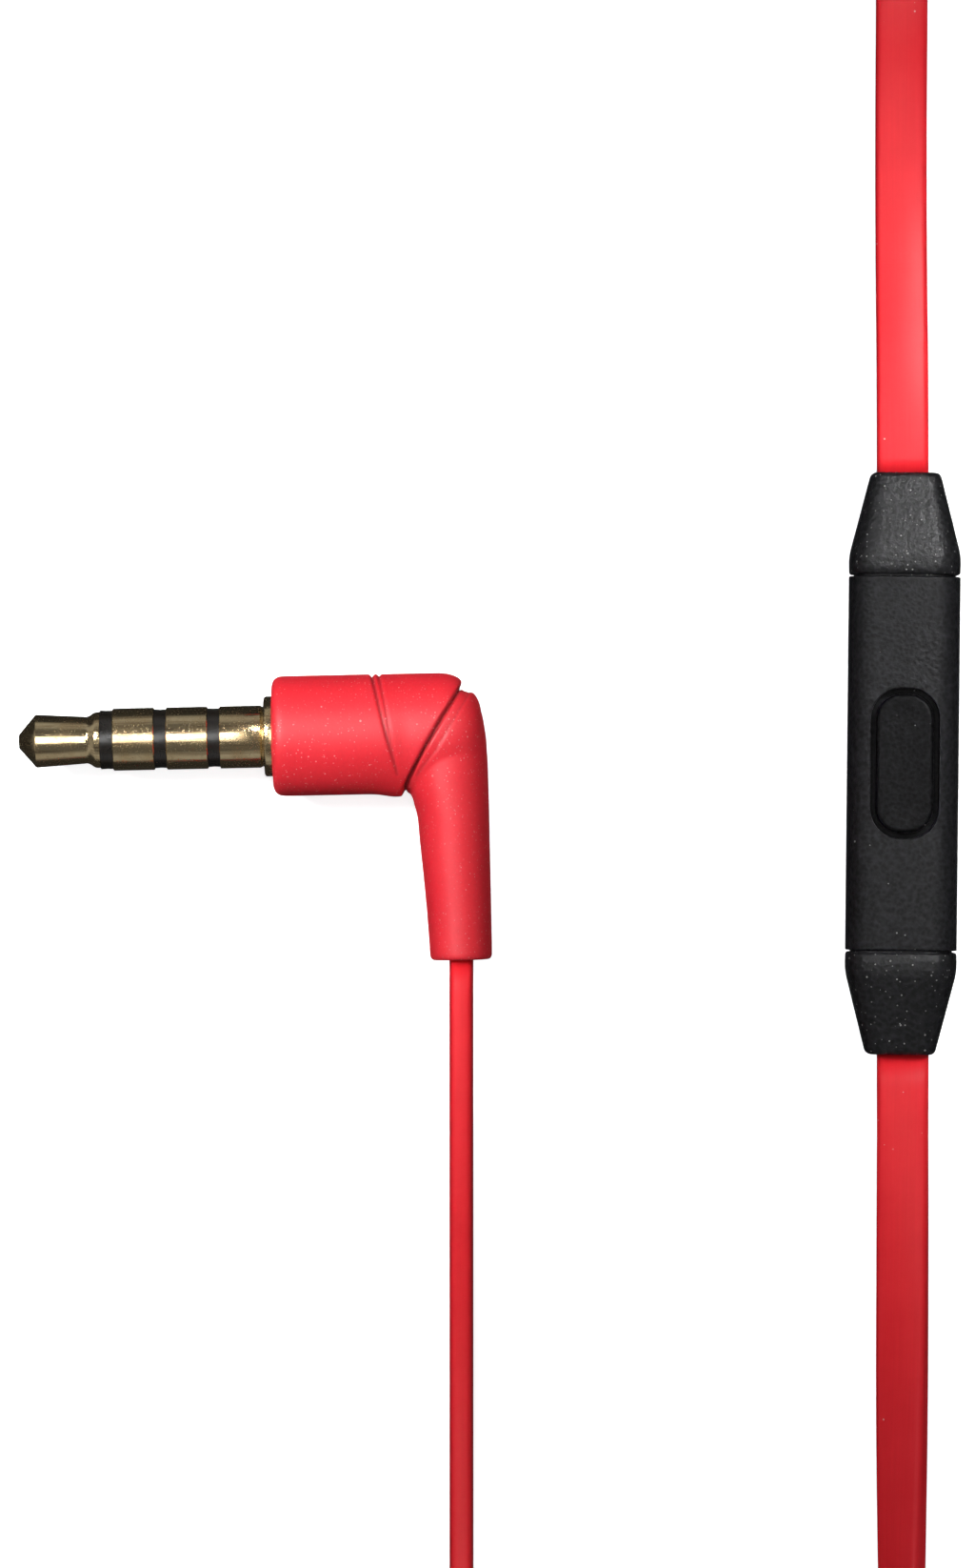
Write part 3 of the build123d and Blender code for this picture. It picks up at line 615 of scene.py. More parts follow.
# leg: distance along it, where its inner face is, where its outer face is, half its depth
LEG = [(2.75, 8.9, 10.95, 1.3), (2.45, 8.2, 11.22, 1.9), (1.8, 7.7, 11.55, 2.5),
       (0.9, 7.5, 11.86, 2.9), (-0.3, 7.4, 12.02, 3.06), (-1.8, 7.45, 12.08, 3.02),
       (-3.0, 7.55, 12.09, 2.96), (-3.9, 7.80, 12.10, 2.92), (-4.8, 8.03, 12.10, 2.88),
       (-6.0, 8.14, 12.10, 2.76), (-8.0, 8.32, 12.10, 2.62), (-10.0, 8.47, 12.10, 2.48),
       (-11.8, 8.57, 12.10, 2.38), (-12.55, 8.60, 12.09, 2.36), (-12.72, 8.66, 12.04, 2.30),
       (-12.78, 8.80, 11.90, 2.16)]
# the lines cut in it, seen from above: the mitre, the line beside it and the long double crease
MITRE = [(11.25, 3.2), (10.80, 2.75), (9.60, 0.95), (8.62, -0.75), (7.85, -2.20), (7.42, -3.00),
         (7.30, -3.8)]
SECOND = [(11.75, 2.95), (11.28, 2.32), (10.4, 0.95), (9.2, -1.05), (8.05, -2.50)]
CREASE = [(5.60, 3.6), (6.10, 1.4), (6.62, -0.9), (6.98, -2.35)]
CREASE_LOW = [(6.02, 3.6), (6.42, 1.4), (6.75, -0.9), (6.99, -2.35)]


def blob_leg():
    """The leg's skin from its sections, each an ellipse."""
    rings = []
    for y, inner, outer, deep in LEG:
        mid, half = (inner + outer) / 2, (outer - inner) / 2
        angles = [2 * math.pi * j / 72 for j in range(72)]
        rings.append([(mid + half * math.cos(a), y, deep * math.sin(a)) for a in angles])
    return skinned(rings)


def nearest(path, x, y):
    """Distances of points to a broken line, and which side of it they are on (+ to its left)."""
    best = np.full(x.shape, np.inf)
    side = np.zeros(x.shape)
    for (ax, ay), (bx, by) in zip(path, path[1:]):
        dx, dy = bx - ax, by - ay
        t = np.clip(((x - ax) * dx + (y - ay) * dy) / (dx * dx + dy * dy), 0, 1)
        far = np.hypot(x - ax - t * dx, y - ay - t * dy)
        closer = far < best
        best = np.where(closer, far, best)
        side = np.where(closer, np.sign(dx * (y - ay) - dy * (x - ax)), side)
    return best, side


def boot_skin():
    """The boot as one closed skin: its barrel and its leg melted together."""
    barrel = [(0, 0), (0, BOOT_R - 0.50), (0.10, BOOT_R - 0.22), (0.30, BOOT_R - 0.06),
              (0.55, BOOT_R)]
    barrel += [(x, BOOT_R) for x in (2, 4, 6, 8)]
    for k in range(13):
        a = math.radians(7.5 * k)
        barrel.append((BOOT_END - BOOT_SHOULDER + BOOT_SHOULDER * math.sin(a),
                       BOOT_R - BOOT_SHOULDER + BOOT_SHOULDER * math.cos(a)))
    barrel.append((BOOT_END, 0))
    shell = bmesh.new()
    for points, faces in (turned(barrel), blob_leg()):
        verts = [shell.verts.new(p) for p in points]
        for face in faces:
            shell.faces.new([verts[i] for i in face])
    bmesh.ops.recalc_face_normals(shell, faces=shell.faces)
    rough = bpy.data.meshes.new("boot_rough")
    shell.to_mesh(rough)
    shell.free()
    it = add_object("boot_rough", rough)
    melt = it.modifiers.new("melt", "REMESH")
    melt.mode = "VOXEL"
    melt.voxel_size = VOXEL
    ease = it.modifiers.new("ease", "SMOOTH")
    ease.factor = 0.5
    ease.iterations = 14
    return plain_mesh(it)


skin = boot_skin()
count = len(skin.vertices)
co = np.zeros(count * 3)
skin.vertices.foreach_get("co", co)
co = co.reshape(-1, 3)
normal = np.array([v.normal[:] for v in skin.vertices])
x, y = co[:, 0], co[:, 1]


def ridge(far, reach):
    """How much of a cut is felt at some distances from its line."""
    return np.exp(-(far / reach) ** 2)


def spot(x_at, y_at, x_reach, y_reach):
    """How much of a hollow or a swelling is felt, round a place seen from above."""
    return np.exp(-(((x - x_at) / x_reach) ** 2 + ((y - y_at) / y_reach) ** 2))


mitre, mitre_side = nearest(MITRE, x, y)
second, second_side = nearest(SECOND, x, y)
crease, crease_low = nearest(CREASE, x, y)[0], nearest(CREASE_LOW, x, y)[0]
past = np.where(mitre_side > 0, 1.0, 0.0)
between = past * np.where(second_side > 0, 0.0, 1.0)
taper = np.clip((y + 3.4) / 3.2, 0.3, 1.0)
sink = 0.26 * ridge(mitre, 0.10) + past * 0.17 * np.exp(-mitre / 0.9)
sink += 0.06 * between * ridge(second - 0.1, 0.25) + 0.05 * ridge(second, 0.07)
sink += 0.19 * taper * ridge(crease, 0.08) + 0.15 * taper * ridge(crease_low, 0.08)
dimple, corner_notch = spot(7.5, -0.2, 0.55, 1.9), spot(11.15, 2.75, 0.42, 0.38)
swell, flash = spot(6.9, -3.4, 0.8, 0.5), spot(7.62, -4.15, 0.16, 0.22) * ridge(co[:, 2], 1.6)
sink += 0.07 * dimple + 0.32 * corner_notch - 0.17 * swell - 0.20 * flash
co = co - normal * sink[:, None]
matrix = np.array(PLUG_AT)
co = (co * MM) @ matrix[:3, :3].T + matrix[:3, 3]
skin.vertices.foreach_set("co", co.reshape(-1))
skin.name = "boot_skin"
# A mask along the mitre, the line beside it and the crease, where the boot's colour gets painted
# shade.
marks = skin.attributes.new("cut", "FLOAT", "POINT")
lines = ridge(mitre, 0.12) + 0.95 * taper * ridge(crease, 0.07)
lines += 0.5 * taper * ridge(crease_low, 0.06) + 0.35 * ridge(second, 0.06)
marks.data.foreach_set("value", np.clip(lines, 0, 1))
skin.update()

boot_red, tree, shader, join = surface("boot_red", Specular_IOR_Level=0.6)
fine = grouped(tree, grain, Size=0.00013)
dusty = grouped(tree, dust, Share=1.0, Spacing=0.00021)["Mask"]
rare = grouped(tree, dust, Share=0.06, Spacing=0.00030)["Mask"]
painted_groove_shade = add_node(tree, "ShaderNodeAttribute", attribute_name="cut").outputs["Fac"]
place = add_node(tree, "ShaderNodeTexCoord").outputs["Object"]
gather = noise_at(tree, place, (1, 1, 1), 260.0, 4.0)
tone = blended(tree, fine["Patches"], (0.74, 0.015, 0.028), (0.84, 0.021, 0.036))
tone = blended(tree, spread_to(tree, fine["Height"], 0.0, 0.3, 0.5, 1.3), tone,
               (0.56, 0.010, 0.018))
# Painted shade: the red is darkened along the grooves, where their shadow falls.
tone = blended(tree, sums(tree, "MULTIPLY", painted_groove_shade, 0.85), tone, (0.16, 0.004, 0.006))
heap = sums(tree, "MULTIPLY", dusty, spread_to(tree, gather, 0.25, 1.0, 0.42, 0.60))
heap = sums(tree, "MAXIMUM", heap, sums(tree, "MULTIPLY", rare, 0.9))
join(blended(tree, sums(tree, "MULTIPLY", heap, 0.75), tone, (0.85, 0.42, 0.38)),
     shader.inputs["Base Color"])
join(spread_to(tree, fine["Patches"], 0.44, 0.56), shader.inputs["Roughness"])
bumped(tree, shader, sums(tree, "ADD", fine["Height"], sums(tree, "MULTIPLY", heap, 2.0)),
       0.000007)
boot = put("boot", skin, boot_red)
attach(boot, "headset")
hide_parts("plug_boot")

# ---------------------------------------------------------------------------------------------
# The in-line remote: two spark-textured black shells that snap together at mid height, an oval
# key in a narrow dark groove, and a soft tapering relief clamped in each end of the housing.
# ---------------------------------------------------------------------------------------------
REMOTE_PLACE = placed(0, -110.0, 0, -0.6)
HOUSE_WIDE, HOUSE_LONG, HOUSE_HIGH, HOUSE_ROUND, HOUSE_WALL = 6.2, 21.0, 5.2, 1.6, 0.8
HOUSE_MID = HOUSE_HIGH / 2
CROWN_FALL, CROWN_HALF, EDGE_ROUND = 0.06, 1.5, 0.10
KEY_WIDE, KEY_LONG, KEY_ROUND, KEY_GAP, KEY_TOP = 3.2, 7.8, 1.4, 0.32, 5.32
MIC_Y, MIC_R = -5.2, 0.4

shell_black = moulded("shell_black", (0.0030, 0.0030, 0.0034), 0.46, 0.00020, 0.000034,
                      specks=0.02, shift=0.4, speck=(0.25, 0.25, 0.25), shine=0.19, grit=5.0)
key_black = moulded("key_black", (0.0014, 0.0014, 0.0016), 0.40, 0.00018, 0.000030,
                    specks=0.03, shift=0.4, speck=(0.25, 0.25, 0.25), shine=0.09, grit=5.0)
relief_black = moulded("relief_black", (0.0022, 0.0022, 0.0025), 0.40, 0.00022, 0.000044,
                       specks=0.6, shift=0.4, speck=(0.36, 0.36, 0.35), shine=0.32, grit=6.0)


def oval(wide, long, round_r, at=(0, 0), bend=40, run=16):
    """Points round an upright oval and the outward directions there, anticlockwise."""
    found = []
    cx, cy = wide / 2 - round_r, long / 2 - round_r
    corners = ((cx, cy, 0), (-cx, cy, 90), (-cx, -cy, 180), (cx, -cy, 270))
    for (x0, y0, start), (x1, y1, _) in zip(corners, corners[1:] + corners[:1]):
        steps = run if abs(y1 - y0) > abs(x1 - x0) else 2
        stops = [(x0, y0, start + 90 * k / bend) for k in range(bend + 1)]
        stops += [(x0 + (x1 - x0) * k / steps, y0 + (y1 - y0) * k / steps, start + 90)
                  for k in range(1, steps)]
        for x, y, angle in stops:
            c, s = math.cos(math.radians(angle)), math.sin(math.radians(angle))
            found.append((x + round_r * c + at[0], y + round_r * s + at[1], c, s))
    return found


def to_rectangle(marks, half_x, half_y):
    """Where each direction of an oval meets a rectangle, with the four corners met exactly."""
    found = []
    for x, y, dx, dy in marks:
        reach = [((half_x if dx > 0 else -half_x) - x) / dx] if abs(dx) > 1e-6 else []
        reach += [((half_y if dy > 0 else -half_y) - y) / dy] if abs(dy) > 1e-6 else []
        far = min(reach)
        found.append((x + dx * far, y + dy * far))
    for corner in ((half_x, half_y), (-half_x, half_y), (-half_x, -half_y), (half_x, -half_y)):
        found[min(range(len(found)), key=lambda i: math.dist(found[i], corner))] = corner
    return found


def crown(x):
    """Height of the housing's rounded top above its mid height, at a distance from its middle."""
    over = abs(x) - (HOUSE_WIDE / 2 - HOUSE_ROUND)
    drop = HOUSE_ROUND - math.sqrt(max(0.0, HOUSE_ROUND ** 2 - max(0.0, over) ** 2))
    return HOUSE_MID - drop - CROWN_FALL * min(1.0, (x / CROWN_HALF) ** 2)


def half_shell(marks, hole_bevel, flip):
    """One half of the housing around a hole: its outside, its parting edge and its inside."""
    outer = to_rectangle(marks, HOUSE_WIDE / 2, HOUSE_LONG / 2)
    inner = to_rectangle(marks, HOUSE_WIDE / 2 - HOUSE_WALL, HOUSE_LONG / 2 - HOUSE_WALL)
    rings = [[(x, y, HOUSE_MID - HOUSE_WALL) for x, y, _, _ in marks]]
    for k in range(7):
        a = math.radians(15 * k)
        out = hole_bevel * (1 - math.cos(a))
        down = hole_bevel * (1 - math.sin(a))
        rings.append([(x + dx * out, y + dy * out, crown(x + dx * out) - down)
                      for x, y, dx, dy in marks])
    for k in range(1, 41):
        s = 1 - (1 - k / 40) ** 1.7
        ring = []
        for (x, y, dx, dy), (ox, oy) in zip(marks, outer):
            px, py = x + dx * hole_bevel, y + dy * hole_bevel
            px, py = px + (ox - px) * s, py + (oy - py) * s
            edge = max(0.0, EDGE_ROUND - (HOUSE_LONG / 2 - abs(py)))
            dip = EDGE_ROUND - math.sqrt(max(0.0, 0.01 - edge ** 2))
            ring.append((px, py, crown(px) - dip))
        rings.append(ring)
    for height, inset in ((0.10, 0.0), (0.04, 0.015), (0.0, 0.07)):
        share_x, share_y = 1 - inset / (HOUSE_WIDE / 2), 1 - inset / (HOUSE_LONG / 2)
        rings.append([(x * share_x, y * share_y, min(height, crown(x))) for x, y in outer])
    rings += [[(x, y, z) for x, y in inner] for z in (0.0, HOUSE_MID - HOUSE_WALL)]
    points, faces = skinned(rings, loop=True)
    side = -1 if flip else 1
    return [Vector((p.x, p.y, HOUSE_MID + side * p.z)) for p in points], faces


groove = oval(KEY_WIDE + 2 * KEY_GAP, KEY_LONG + 2 * KEY_GAP, KEY_ROUND + KEY_GAP)
made("front_shell", half_shell(groove, 0.07, False), REMOTE_PLACE, shell_black,
     ["remote_front_shell"], sharp=50)
mic_hole = oval(2 * MIC_R, 2 * MIC_R + 1e-4, MIC_R - 1e-5, at=(0, MIC_Y), run=2)
made("back_shell", half_shell(mic_hole, 0.08, True), REMOTE_PLACE, shell_black,
     ["remote_back_shell"], sharp=50)

# The key: the lip that keeps it in, its plunger, its rounded rim, and the dish along its middle.
LIP_LOW, LIP_HIGH, LIP_OUT, TONGUE, PLUNGER_R, PLUNGER_LOW = 3.92, 4.33, 0.45, 0.3, 0.8, 3.34
KEY_RIM, KEY_DISH, SPINE_END = 0.24, 0.05, 2.4


def on_spine(y):
    """The nearest place on the key's middle line."""
    return max(-SPINE_END, min(SPINE_END, y))


def key_cap():
    """The key: rounded rim, faintly dished top, a skirt with a tongue at each end, its plunger."""
    marks = oval(KEY_WIDE, KEY_LONG, KEY_ROUND)
    skirt = []
    for x, y, dx, dy in marks:
        tongue = TONGUE if abs(x) < 0.85 and abs(y) > 3 else 0.0
        skirt.append((x + LIP_OUT * dx, y + math.copysign(tongue, y) + LIP_OUT * dy))
    rings = [[(PLUNGER_R * dx, PLUNGER_R * dy, z) for _, _, dx, dy in marks]
             for z in (PLUNGER_LOW, LIP_LOW)]
    rings += [[(x, y, z) for x, y in skirt] for z in (LIP_LOW, LIP_HIGH)]
    rings.append([(x, y, LIP_HIGH) for x, y, _, _ in marks])
    for k in range(9):
        a = math.radians(90 * k / 8)
        inward = KEY_RIM * (1 - math.cos(a))
        rings.append([(x - dx * inward, y - dy * inward, KEY_TOP - KEY_RIM + KEY_RIM * math.sin(a))
                      for x, y, dx, dy in marks])
    for s in (0.12, 0.25, 0.4, 0.6, 0.8):
        ring = []
        for x, y, dx, dy in marks:
            px, py = x - dx * KEY_RIM, y - dy * KEY_RIM
            spine = on_spine(py)
            ring.append((px * (1 - s), spine + (py - spine) * (1 - s),
                         KEY_TOP - KEY_DISH * min(1.0, s * 1.4)))
        rings.append(ring)
    n = len(marks)
    points, faces = skinned(rings, close_end=False)
    base = (len(rings) - 1) * n
    spots = {}
    for j in range(n):
        at_y = round(on_spine(points[base + j].y), 3)
        if at_y not in spots:
            spots[at_y] = len(points)
            points.append(Vector((0, at_y, KEY_TOP - KEY_DISH)))
    for j in range(n):
        a, b = base + j, base + (j + 1) % n
        u, v = (spots[round(on_spine(points[i].y), 3)] for i in (a, b))
        faces.append((a, b, u) if u == v else (a, b, v, u))
    return points, faces


made("key", key_cap(), REMOTE_PLACE, key_black, ["remote_button"], sharp=50,
     rides="button")

# The reliefs: their length beyond the housing, where the taper starts, their size at the tip.
RELIEF_LONG, RELIEF_TURN, TIP_WIDE, TIP_HIGH, TIP_ROUND = 5.75, 1.1, 3.85, 3.0, 0.32


def soft_relief(end):
    """A relief: clamped flange and neck, straight base, then four soft flats down to the cord."""
    base_y = HOUSE_LONG / 2 + 0.12
    stations = [(9.02, 4.48, 3.08, 0.2), (9.68, 4.48, 3.08, 0.2), (9.72, 3.96, 2.56, 0.2),
                (base_y - 0.09, 3.96, 2.56, 0.2), (base_y - 0.088, 5.66, 4.66, 1.4),
                (base_y, 5.66, 4.66, 1.4), (base_y + 0.002, 5.90, 4.90, 1.45),
                (base_y + 0.03, 6.08, 5.08, 1.55), (base_y + 0.12, 6.18, 5.18, 1.6),
                (base_y + 0.5, HOUSE_WIDE, HOUSE_HIGH, HOUSE_ROUND)]
    turn_y, tip_y = base_y + RELIEF_TURN, base_y + RELIEF_LONG
    slope_x = (HOUSE_WIDE - TIP_WIDE) / (tip_y - turn_y)
    slope_z = (HOUSE_HIGH - TIP_HIGH) / (tip_y - turn_y)
    for k in range(1, 32):
        y = base_y + 0.5 + (tip_y - TIP_ROUND - base_y - 0.5) * k / 31
        past = y - turn_y
        eased_past = past if past > 0.45 else max(0.0, (past + 0.45) ** 2 / 1.8)
        share = eased_past / (tip_y - turn_y)
        stations.append((y, HOUSE_WIDE - slope_x * eased_past, HOUSE_HIGH - slope_z * eased_past,
                         HOUSE_ROUND - 0.75 * share))
    _, wide, high, round_r = stations[-1]
    for k in range(1, 7):
        a = math.radians(15 * k)
        grow, cut_in = TIP_ROUND * math.sin(a), 0.30 * (1 - math.cos(a))
        stations.append((tip_y - TIP_ROUND + grow, wide - 2 * cut_in - slope_x * grow * 0.5,
                         high - 2 * cut_in - slope_z * grow * 0.5, max(0.4, round_r - cut_in)))
    rings = [[(px, y, HOUSE_MID + pz)
              for px, pz, _, _ in oval(wide, high, round_r, bend=14, run=14)]
             for y, wide, high, round_r in stations]
    points, faces = skinned(rings)
    return [Vector((end * p.x, end * p.y, p.z)) for p in points], faces


for end, word in ((1, "upper"), (-1, "lower")):
    made(f"relief_{word}", soft_relief(end), REMOTE_PLACE, relief_black,
         [f"remote_relief_{word}"], sharp=60)

# ---------------------------------------------------------------------------------------------
# Inside the remote: the board with its key switch, sprung dome, microphone and wires, and the
# plug's inner moulding and tags. The dome is a domed steel disc; the others keep their shapes.
# ---------------------------------------------------------------------------------------------


def finished(name, colour, rough, metal=0.0, grain_size=0.0001, depth=0.000004, lines=None):
    """A finish for an inner piece: cloudy colour, fine grain and, if asked, drawn lines."""
    material, tree, shader, join = surface(name, Metallic=metal)
    fine = grouped(tree, grain, Size=grain_size)
    dark = times(colour, 0.88)
    tone = blended(tree, fine["Patches"], dark, times(colour, 1.12))
    height = fine["Height"]
    if lines:
        place = add_node(tree, "ShaderNodeTexCoord").outputs["Object"]
        drawn = noise_at(tree, place, lines, 6000.0, 2.0)
        tone = blended(tree, spread_to(tree, drawn, 0.0, 0.5, 0.4, 0.65), tone, dark)
        height = sums(tree, "ADD", height, drawn)
    join(tone, shader.inputs["Base Color"])
    join(spread_to(tree, fine["Patches"], rough - 0.08, rough + 0.1), shader.inputs["Roughness"])
    bumped(tree, shader, height, depth)
    return material


tinned = finished("tinned_brass", (0.72, 0.70, 0.66), 0.3, 1.0, lines=(0.2, 1, 1))
inner_finishes = {
    "jack_tags": tinned,
    "plug_inner_mould": finished("inner_mould", (0.78, 0.75, 0.68), 0.5),
    "remote_board": finished("solder_resist", (0.02, 0.16, 0.06), 0.35, lines=(1, 0.1, 1)),
    "remote_switch": finished("switch_body", (0.06, 0.06, 0.06), 0.45),
    "remote_microphone": finished("microphone_can", (0.70, 0.68, 0.62), 0.28, 1.0,
                                  lines=(1, 0.2, 1)),
    "remote_mic_gasket": finished("gasket_foam", (0.03, 0.03, 0.03), 0.9, grain_size=0.0002,
                                  depth=0.00003),
    "remote_wires": finished("wire_enamel", (0.62, 0.30, 0.12), 0.3),
    "splitter_joint": tinned,
}
# The dome, which snaps flat on its switch as the key is pressed, is drawn domed here, with a mesh
# of its own.
dome_steel = finished("dome_steel", (0.62, 0.62, 0.60), 0.22, 1.0, lines=(0.15, 1, 1))
DOME_Z, DOME_R, DOME_HIGH, DOME_RIM = 3.02, 1.2, 0.3, 0.04
dome = [(DOME_Z, 0), (DOME_Z, DOME_R), (DOME_Z + DOME_RIM, DOME_R)]
for k in range(1, 13):
    high = (DOME_HIGH - DOME_RIM) * math.sin(math.pi / 2 * k / 12)
    dome.append((DOME_Z + DOME_RIM + high, DOME_R * (1 - (k / 12) ** 1.6)))
snap_dome = made("snap_dome", turned(dome, axis="Z"), REMOTE_PLACE, dome_steel,
                 ["remote_snap_dome"], sharp=50)
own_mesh(snap_dome)
ear_finishes = {
    "driver_frame": finished("driver_plastic", (0.10, 0.10, 0.11), 0.4),
    "driver_magnet": finished("magnet_nickel", (0.66, 0.66, 0.68), 0.2, 1.0),
    "voice_coil": finished("voice_coil_wire", (0.72, 0.36, 0.18), 0.25, 1.0, lines=(0.1, 0.1, 5)),
    "diaphragm": finished("diaphragm_film", (0.78, 0.70, 0.55), 0.3),
}
for side in ("right", "left"):
    inner_finishes.update({f"{side}_{part}": finish for part, finish in ear_finishes.items()})
for node, finish in inner_finishes.items():
    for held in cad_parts[node].material_slots:
        held.material = finish

# ---------------------------------------------------------------------------------------------
# The Y-splitter: two black shells welded along a fine seam around the soldered joint, a wedge
# that is narrow where the flat main cord comes in, with a sunk panel on each broad face.
# ---------------------------------------------------------------------------------------------
SPLIT_Y, SPLIT_LONG, SPLIT_MID = -58.0, 12.0, 1.7
SPLIT_IN, SPLIT_OUT, SPLIT_ROUND, CORNER_FROM = 4.6, 7.0, 0.8, 0.2


def stretched(part, full, in_corner):
    """A part of a 2 mm outline drawn out to a new half size, with its corners left round."""
    size = abs(part)
    if in_corner:
        return math.copysign(full - (1 - size), part)
    straight = full if size > CORNER_FROM else size / CORNER_FROM * (full - SPLIT_ROUND)
    return math.copysign(straight, part)


def wedge(inset, height):
    """The splitter's outline with round corners, drawn in by an inset, at a height."""
    found = []
    for x, y, _, _ in oval(2, 2, SPLIT_ROUND if inset < 0.5 else 0.45, bend=10, run=12):
        v = max(-1.0, min(1.0, y))
        wide = SPLIT_IN / 2 + (SPLIT_OUT - SPLIT_IN) / 2 * (v + 1) / 2 - inset
        in_corner = abs(x) > CORNER_FROM and abs(y) > CORNER_FROM
        found.append((stretched(x, wide, in_corner),
                      SPLIT_Y + stretched(y, SPLIT_LONG / 2 - inset, in_corner), height))
    return found


def split_half(way):
    """One shell of the splitter, from its seam to its broad face."""
    levels = [(0.05, 0.0), (0.0, 0.06)]
    levels += [(0.5 * (1 - math.cos(math.radians(a))), 1.2 + 0.5 * math.sin(math.radians(a)))
               for a in range(0, 91, 15)]
    levels += [(0.95, 1.7), (1.02, 1.62), (1.10, 1.60)]
    return skinned([wedge(inset, SPLIT_MID + way * height) for inset, height in levels])


for way, word in ((1, "top"), (-1, "bottom")):
    made(f"split_{word}", split_half(way), placed(0, 0, 0), shell_black,
         [f"splitter_{word}"], sharp=50)

# ---------------------------------------------------------------------------------------------
# Earpieces: a black rear cover, a gold-coloured trim ring, a black front housing with a tilted
# nozzle, a woven mesh in its mouth, a soft silicone tip and a red ribbed boot for the cord.
# ---------------------------------------------------------------------------------------------
EAR_AT_X, EAR_AT_Y = 14.45, 3.4
EAR_R, EAR_WALL, REAR_HIGH, FRONT_FROM = 5.9, 0.8, 4.2, 5.0
NOZZLE_R, NOZZLE_LIP, NOZZLE_BORE, NOZZLE_LONG, NOZZLE_TILT, TILT_Z = 2.4, 2.65, 1.8, 7.2, 18.0, 8.0
MESH_WIRES, MESH_WIRE_R, MESH_SUNK = 25, 0.035, 0.33
STUB_Z, RIBS, RIB_STEP = 2.05, 7, 0.72

ear_black = moulded("ear_black", (0.016, 0.016, 0.018), 0.34, 0.00016, 0.000004, specks=0.03,
                    speck=(0.35, 0.35, 0.35), shine=0.45)
trim_gold = finished("trim_gold", (0.78, 0.58, 0.27), 0.26, 1.0, lines=(1, 1, 0.05))
tip_silicone = moulded("tip_silicone", (0.020, 0.020, 0.022), 0.46, 0.00022, 0.000005, specks=0.10,
                       speck=(0.4, 0.38, 0.36), shine=0.3)
stub_red = moulded("stub_red", (0.70, 0.026, 0.040), 0.52, 0.00013, 0.000007, specks=0.10,
                   shine=0.5, speck=(0.85, 0.45, 0.4))
mesh_steel = finished("mesh_steel", (0.46, 0.46, 0.47), 0.35, 1.0)


def turned_loop(profile, around=96):
    """A turned ring about Z from a closed profile of (height, radius) pairs."""
    rings = [[(r * math.cos(2 * math.pi * j / around), r * math.sin(2 * math.pi * j / around), z)
              for j in range(around)] for z, r in profile]
    return skinned(rings, loop=True)


def woven_disc(name, disc_r, wires, wire_r, material):
    """A round of woven wire mesh made by Geometry Nodes: one wire repeated and cut to the round,
    then the same again across it."""
    tree = bpy.data.node_groups.new(name, "GeometryNodeTree")
    asked = {"Disc radius": ("NodeSocketFloat", disc_r), "Wires": ("NodeSocketInt", wires),
             "Wire radius": ("NodeSocketFloat", wire_r)}
    face = tree.interface
    keys = {label: face.new_socket(name=label, in_out="INPUT", socket_type=kind).identifier
            for label, (kind, _) in asked.items()}
    face.new_socket(name="Mesh", in_out="OUTPUT", socket_type="NodeSocketGeometry")
    radius, amount, thick = list(add_node(tree, "NodeGroupInput").outputs)[:3]

    def combined(**parts):
        return add_node(tree, "ShaderNodeCombineXYZ", parts).outputs[0]

    low = combined(X=sums(tree, "MULTIPLY", radius, -0.95))
    high = combined(X=sums(tree, "MULTIPLY", radius, 0.95))
    line = add_node(tree, "GeometryNodeMeshLine",
                    {"Start Location": low, "Offset": high, "Count": amount}, mode="END_POINTS")
    wire = add_node(tree, "GeometryNodeMeshCylinder",
                    {"Vertices": 6, "Radius": thick, "Depth": 1.0}).outputs["Mesh"]
    where = add_node(tree, "GeometryNodeInputPosition").outputs[0]
    off = add_node(tree, "ShaderNodeSeparateXYZ", {0: where}).outputs["X"]
    left = sums(tree, "SUBTRACT", sums(tree, "MULTIPLY", radius, radius),
                sums(tree, "MULTIPLY", off, off))
    chord = sums(tree, "MULTIPLY", sums(tree, "SQRT", left, 0.0), 2.0)
    laid = add_node(tree, "GeometryNodeInstanceOnPoints",
                    {"Points": line.outputs["Mesh"], "Instance": wire,
                     "Rotation": (math.pi / 2, 0, 0),
                     "Scale": combined(X=1.0, Y=1.0, Z=chord)}).outputs["Instances"]
    crossing = add_node(tree, "GeometryNodeTransform",
                        {"Geometry": laid, "Rotation": (0, 0, math.pi / 2),
                         "Translation": combined(Z=sums(tree, "MULTIPLY", thick, 1.2))}).outputs[0]
    both = add_node(tree, "GeometryNodeJoinGeometry", {"Geometry": crossing})
    tree.links.new(laid, both.inputs["Geometry"])
    real = add_node(tree, "GeometryNodeRealizeInstances", {0: both.outputs[0]}).outputs[0]
    dressed = add_node(tree, "GeometryNodeSetMaterial", {"Geometry": real, "Material": material})
    add_node(tree, "NodeGroupOutput", {"Mesh": dressed.outputs[0]})
    holder = add_object(name, bpy.data.meshes.new(name))
    modifier = holder.modifiers.new("weave", "NODES")
    modifier.node_group = tree
    for label, (_, value) in asked.items():
        modifier[keys[label]] = value
    return plain_mesh(holder)


def joined(*shapes):
    """Several closed shapes as one set of points and faces."""
    points, faces = [], []
    for more_points, more_faces in shapes:
        base = len(points)
        points += more_points
        faces += [tuple(i + base for i in face) for face in more_faces]
    return points, faces


def moved(shape, by):
    """A shape carried by a placement in millimetres."""
    points, faces = shape
    return [by @ p for p in points], faces


